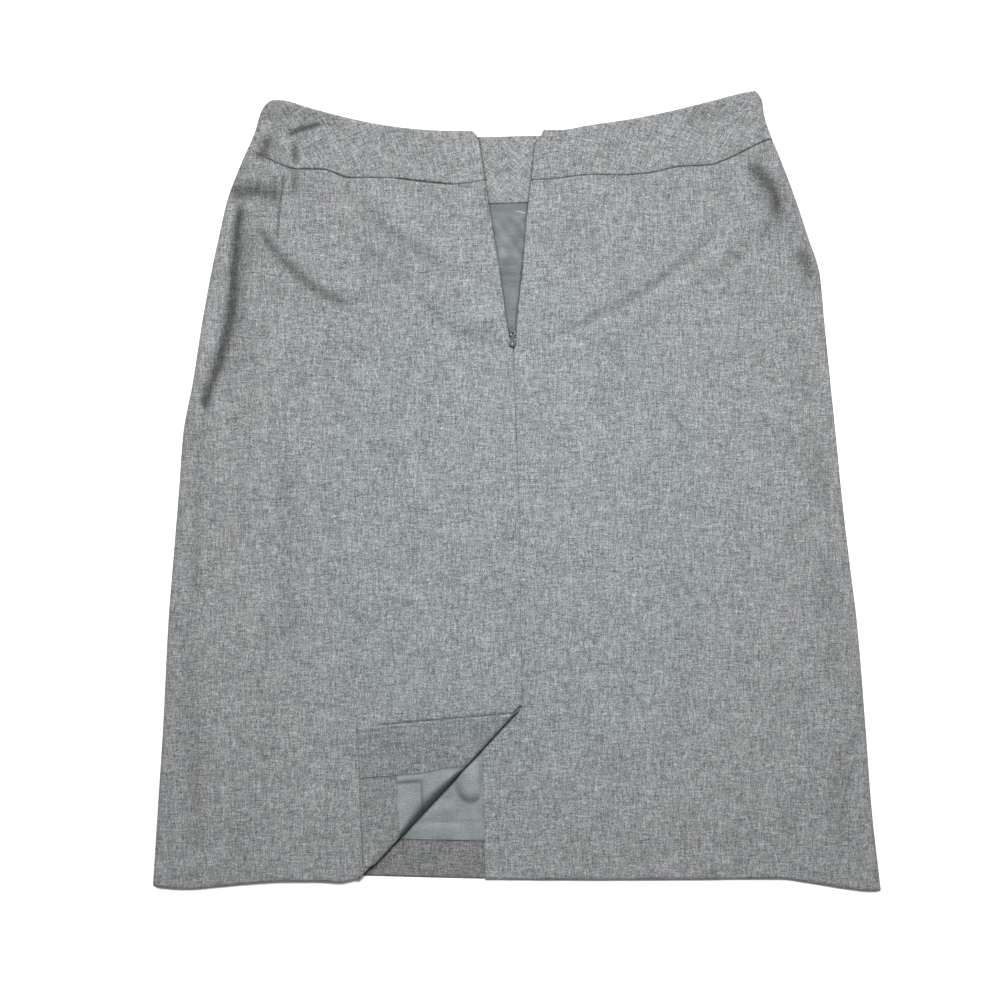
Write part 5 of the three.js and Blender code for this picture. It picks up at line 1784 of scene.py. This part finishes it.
@dataclass
class Sewing:
    """The stitches that show: on the yoke's seams, below the zip, at the waist and on the linings."""

    plan: SkirtPlan
    surface: BackSurface
    trims: CornerTrims
    front: FrontLayers
    wardrobe: Wardrobe
    thread: float = 0.27
    seam_pitch: float = 2.6
    least_pull: float = 0.3
    tack_ys: tuple[float, float] = (116.5, 114.4)
    knot_place: tuple[float, float] = (-31.7, 288.9)
    corner_seam: float = 50.4
    zigzag_y: float = -270.2
    zigzag_half: float = 0.75
    tail_start: tuple[float, float, float] = (-0.2, 229.9, 3.3)
    tail_step: tuple[float, float, float] = (1.3, -0.33, -0.03)

    def row(
        self, name: str, stitches: Sequence[Stitch], material: bpy.types.Material, slot: str
    ) -> bpy.types.Object:
        """Builds many small rounded stitches as one mesh.

        Args:
            name: The piece's name.
            stitches: The stitches.
            material: Their finish.
            slot: The record's slot.

        Returns:
            The piece.
        """
        bm = bmesh.new()
        for stitch in stitches:
            made = bmesh.ops.create_icosphere(bm, subdivisions=1, radius=1)["verts"]
            bmesh.ops.scale(bm, verts=made, vec=(stitch.length / 2, self.thread, self.thread))
            bmesh.ops.rotate(
                bm, verts=made, cent=(0, 0, 0), matrix=Matrix.Rotation(stitch.angle, 3, "Z")
            )
            bmesh.ops.translate(bm, verts=made, vec=(stitch.x, stitch.y, stitch.z))
        bmesh.ops.scale(bm, verts=bm.verts, vec=(MM, MM, MM))
        return new_piece(bm, name, material, slot)

    def seam_stitches(self, seam: Curve, height: Curve, x_from: float, x_to: float) -> list[Stitch]:
        """Lays stitches at the bottom of a yoke seam.

        Args:
            seam: The seam, y for x.
            height: Height of the panel under it.
            x_from: Where they start.
            x_to: Where they end.

        Returns:
            The stitches.
        """
        xs = np.arange(x_from, x_to, self.seam_pitch)
        ys = seam(xs)
        slopes = seam(xs + 0.5) - seam(xs - 0.5)
        zs = height(xs, ys - 0.3) + 0.02
        pull = self.surface.pull(xs)
        return [
            Stitch(x, y, z, math.atan(slope), 0.7 + min(share, 1.2))
            for x, y, z, slope, share in zip(xs, ys, zs, slopes, pull) if share > self.least_pull
        ]

    def build(self) -> list[bpy.types.Object]:
        """Builds all the stitches.

        Returns:
            The pieces.
        """
        plan, surface, wardrobe = self.plan, self.surface, self.wardrobe
        dark, pale = wardrobe.of(wardrobe.seam_thread), wardrobe.of(wardrobe.pale_thread)
        made = []
        for side, seam, height, ends in (
            ("left", plan.left_seam, surface.left_panel, (-214, -30)),
            ("right", plan.right_seam, surface.right_panel, (16, 206)),
        ):
            stitches = self.seam_stitches(seam, height, *ends)
            made.append(self.row(f"yoke_stitches_{side}", stitches, dark, "wool"))
        tacks = []
        for y in self.tack_ys:
            x = float(plan.centre(y))
            z = float(surface.left_panel(np.array([x - 1.0]), np.array([y]))[0])
            tacks.append(Stitch(x, y, z, 0.3, 1.6))
        made.append(self.row("zip_tacks", tacks, dark, "wool"))
        x, y = self.knot_place
        z = float(surface.left_yoke(np.array([x - 1.2]), np.array([y]))[0]) + 0.1
        knot = [Stitch(x + 0.3 * i, y, z, math.pi / 2, 1.6) for i in range(-2, 3)]
        made.append(self.row("waist_knot", knot, wardrobe.of(wardrobe.knot), "wool"))
        rows = []
        for b in np.arange(47.5, 76, 2.3):
            x, y, z = (float(v[0]) for v in self.trims.on_corner(np.array([self.corner_seam]), np.array([b])))
            rows.append(Stitch(x, y, z - 0.35, 1.5, 1.3))
        made.append(self.row("corner_lining_stitches", rows, dark, "satin_lining"))
        zigzag = []
        for i, x in enumerate(np.arange(-79, -28.5, 1.25)):
            turn = 1 if i % 2 else -1
            y = self.zigzag_y + turn * self.zigzag_half
            z = float(self.front.lining_height(np.array([x]), np.array([y]))[0])
            zigzag.append(Stitch(float(x), y, z + 0.05, turn * 0.9, 1.9))
        made.append(self.row("front_lining_stitches", zigzag, dark, "satin_lining"))
        tail = []
        for i in range(6):
            place = (start + step * i for start, step in zip(self.tail_start, self.tail_step))
            tail.append(Stitch(*place, -0.25, 2.0))
        made.append(self.row("thread_end", tail, pale, "satin_lining"))
        return made


@dataclass
class Studio:
    """Pale floor, soft overhead light and a camera that looks straight down."""

    scale: float = 0.82
    centre: tuple[float, float] = (-0.0139, -0.0073)
    lens: float = 85.0
    sensor: float = 36.0
    above: float = 0.005
    floor_size: float = 3.0
    floor_drop: float = 0.0002
    key_size: float = 0.9
    key_power: float = 92.0
    key_place: tuple[float, float, float] = (0.15, 1.2, 2.6)
    centre_powers: tuple[float, float] = (122.0, 64.0)
    centre_place: tuple[float, float, float] = (0.1, 1.1, 2.4)
    centre_target: tuple[float, float, float] = (0.01, 0.04, 0.0)
    centre_angles: tuple[float, float] = (25.0, 10.4)
    spot_softness: float = 0.2
    ambient: float = 0.22
    sky: tuple[float, float, float, float] = (0.97, 0.985, 1, 1)

    def lamp(
        self, name: str, kind: str, power: float, place: Sequence[float], target: Sequence[float]
    ) -> bpy.types.Light:
        """Adds a light that looks at a target.

        Args:
            name: Its name.
            kind: Its type, AREA or SPOT.
            power: Its power in watts.
            place: Where it stands, in metres.
            target: The point it looks at.

        Returns:
            The light's own data.
        """
        light = bpy.data.lights.new(name, kind)
        light.energy = power
        holder = bpy.data.objects.new(name, light)
        holder.location = place
        aim = Vector(target) - Vector(place)
        holder.rotation_euler = aim.to_track_quat("-Z", "Y").to_euler()
        bpy.context.scene.collection.objects.link(holder)
        return light

    def build(self) -> None:
        """Builds the floor, the lights and the camera."""
        scene = bpy.context.scene
        bm = bmesh.new()
        bmesh.ops.create_grid(bm, x_segments=4, y_segments=4, size=self.floor_size)
        mesh = bpy.data.meshes.new("floor")
        bm.to_mesh(mesh)
        bm.free()
        mesh.transform(Matrix.Translation((0, 0, -self.floor_drop)))
        mesh.materials.append(PaleFloor().build())
        floor = bpy.data.objects.new("floor", mesh)
        scene.collection.objects.link(floor)
        key = self.lamp("overhead", "AREA", self.key_power, self.key_place, (0, 0, 0))
        key.shape = "DISK"
        key.size = self.key_size
        for power, angle in zip(self.centre_powers, self.centre_angles):
            spot = self.lamp("centre", "SPOT", power, self.centre_place, self.centre_target)
            spot.spot_size = math.radians(angle)
            spot.spot_blend = 1.0
            spot.shadow_soft_size = self.spot_softness
        world = bpy.data.worlds.new("studio")
        world.use_nodes = True
        background = world.node_tree.nodes["Background"]
        background.inputs["Color"].default_value = self.sky
        background.inputs["Strength"].default_value = self.ambient
        scene.world = world
        view = bpy.data.cameras.new("camera")
        view.lens = self.lens
        view.sensor_width = self.sensor
        view.clip_start, view.clip_end = 0.05, 20
        camera = bpy.data.objects.new("camera", view)
        camera.location = (*self.centre, self.scale * self.lens / self.sensor + self.above)
        scene.collection.objects.link(camera)
        scene.camera = camera
        scene.view_settings.view_transform = "Standard"
        scene.view_settings.look = "None"
        log.info("studio: floor, light and camera")


def main() -> None:
    """Builds the skirt and its studio, in order."""
    logging.basicConfig(level=logging.INFO, format="%(name)s: %(message)s")
    wardrobe = Wardrobe()
    plan = SkirtPlan(Sizes())
    surface = BackSurface(plan, Relief())
    Studio().build()
    front = FrontLayers(plan, wardrobe)
    front.build()
    back = BackPieces(plan, surface, wardrobe)
    back.build()
    trims = CornerTrims(plan, back, wardrobe)
    trims.build()
    Zip(plan, wardrobe).build()
    Sewing(plan, surface, trims, front, wardrobe).build()


if __name__ == "__main__":
    main()
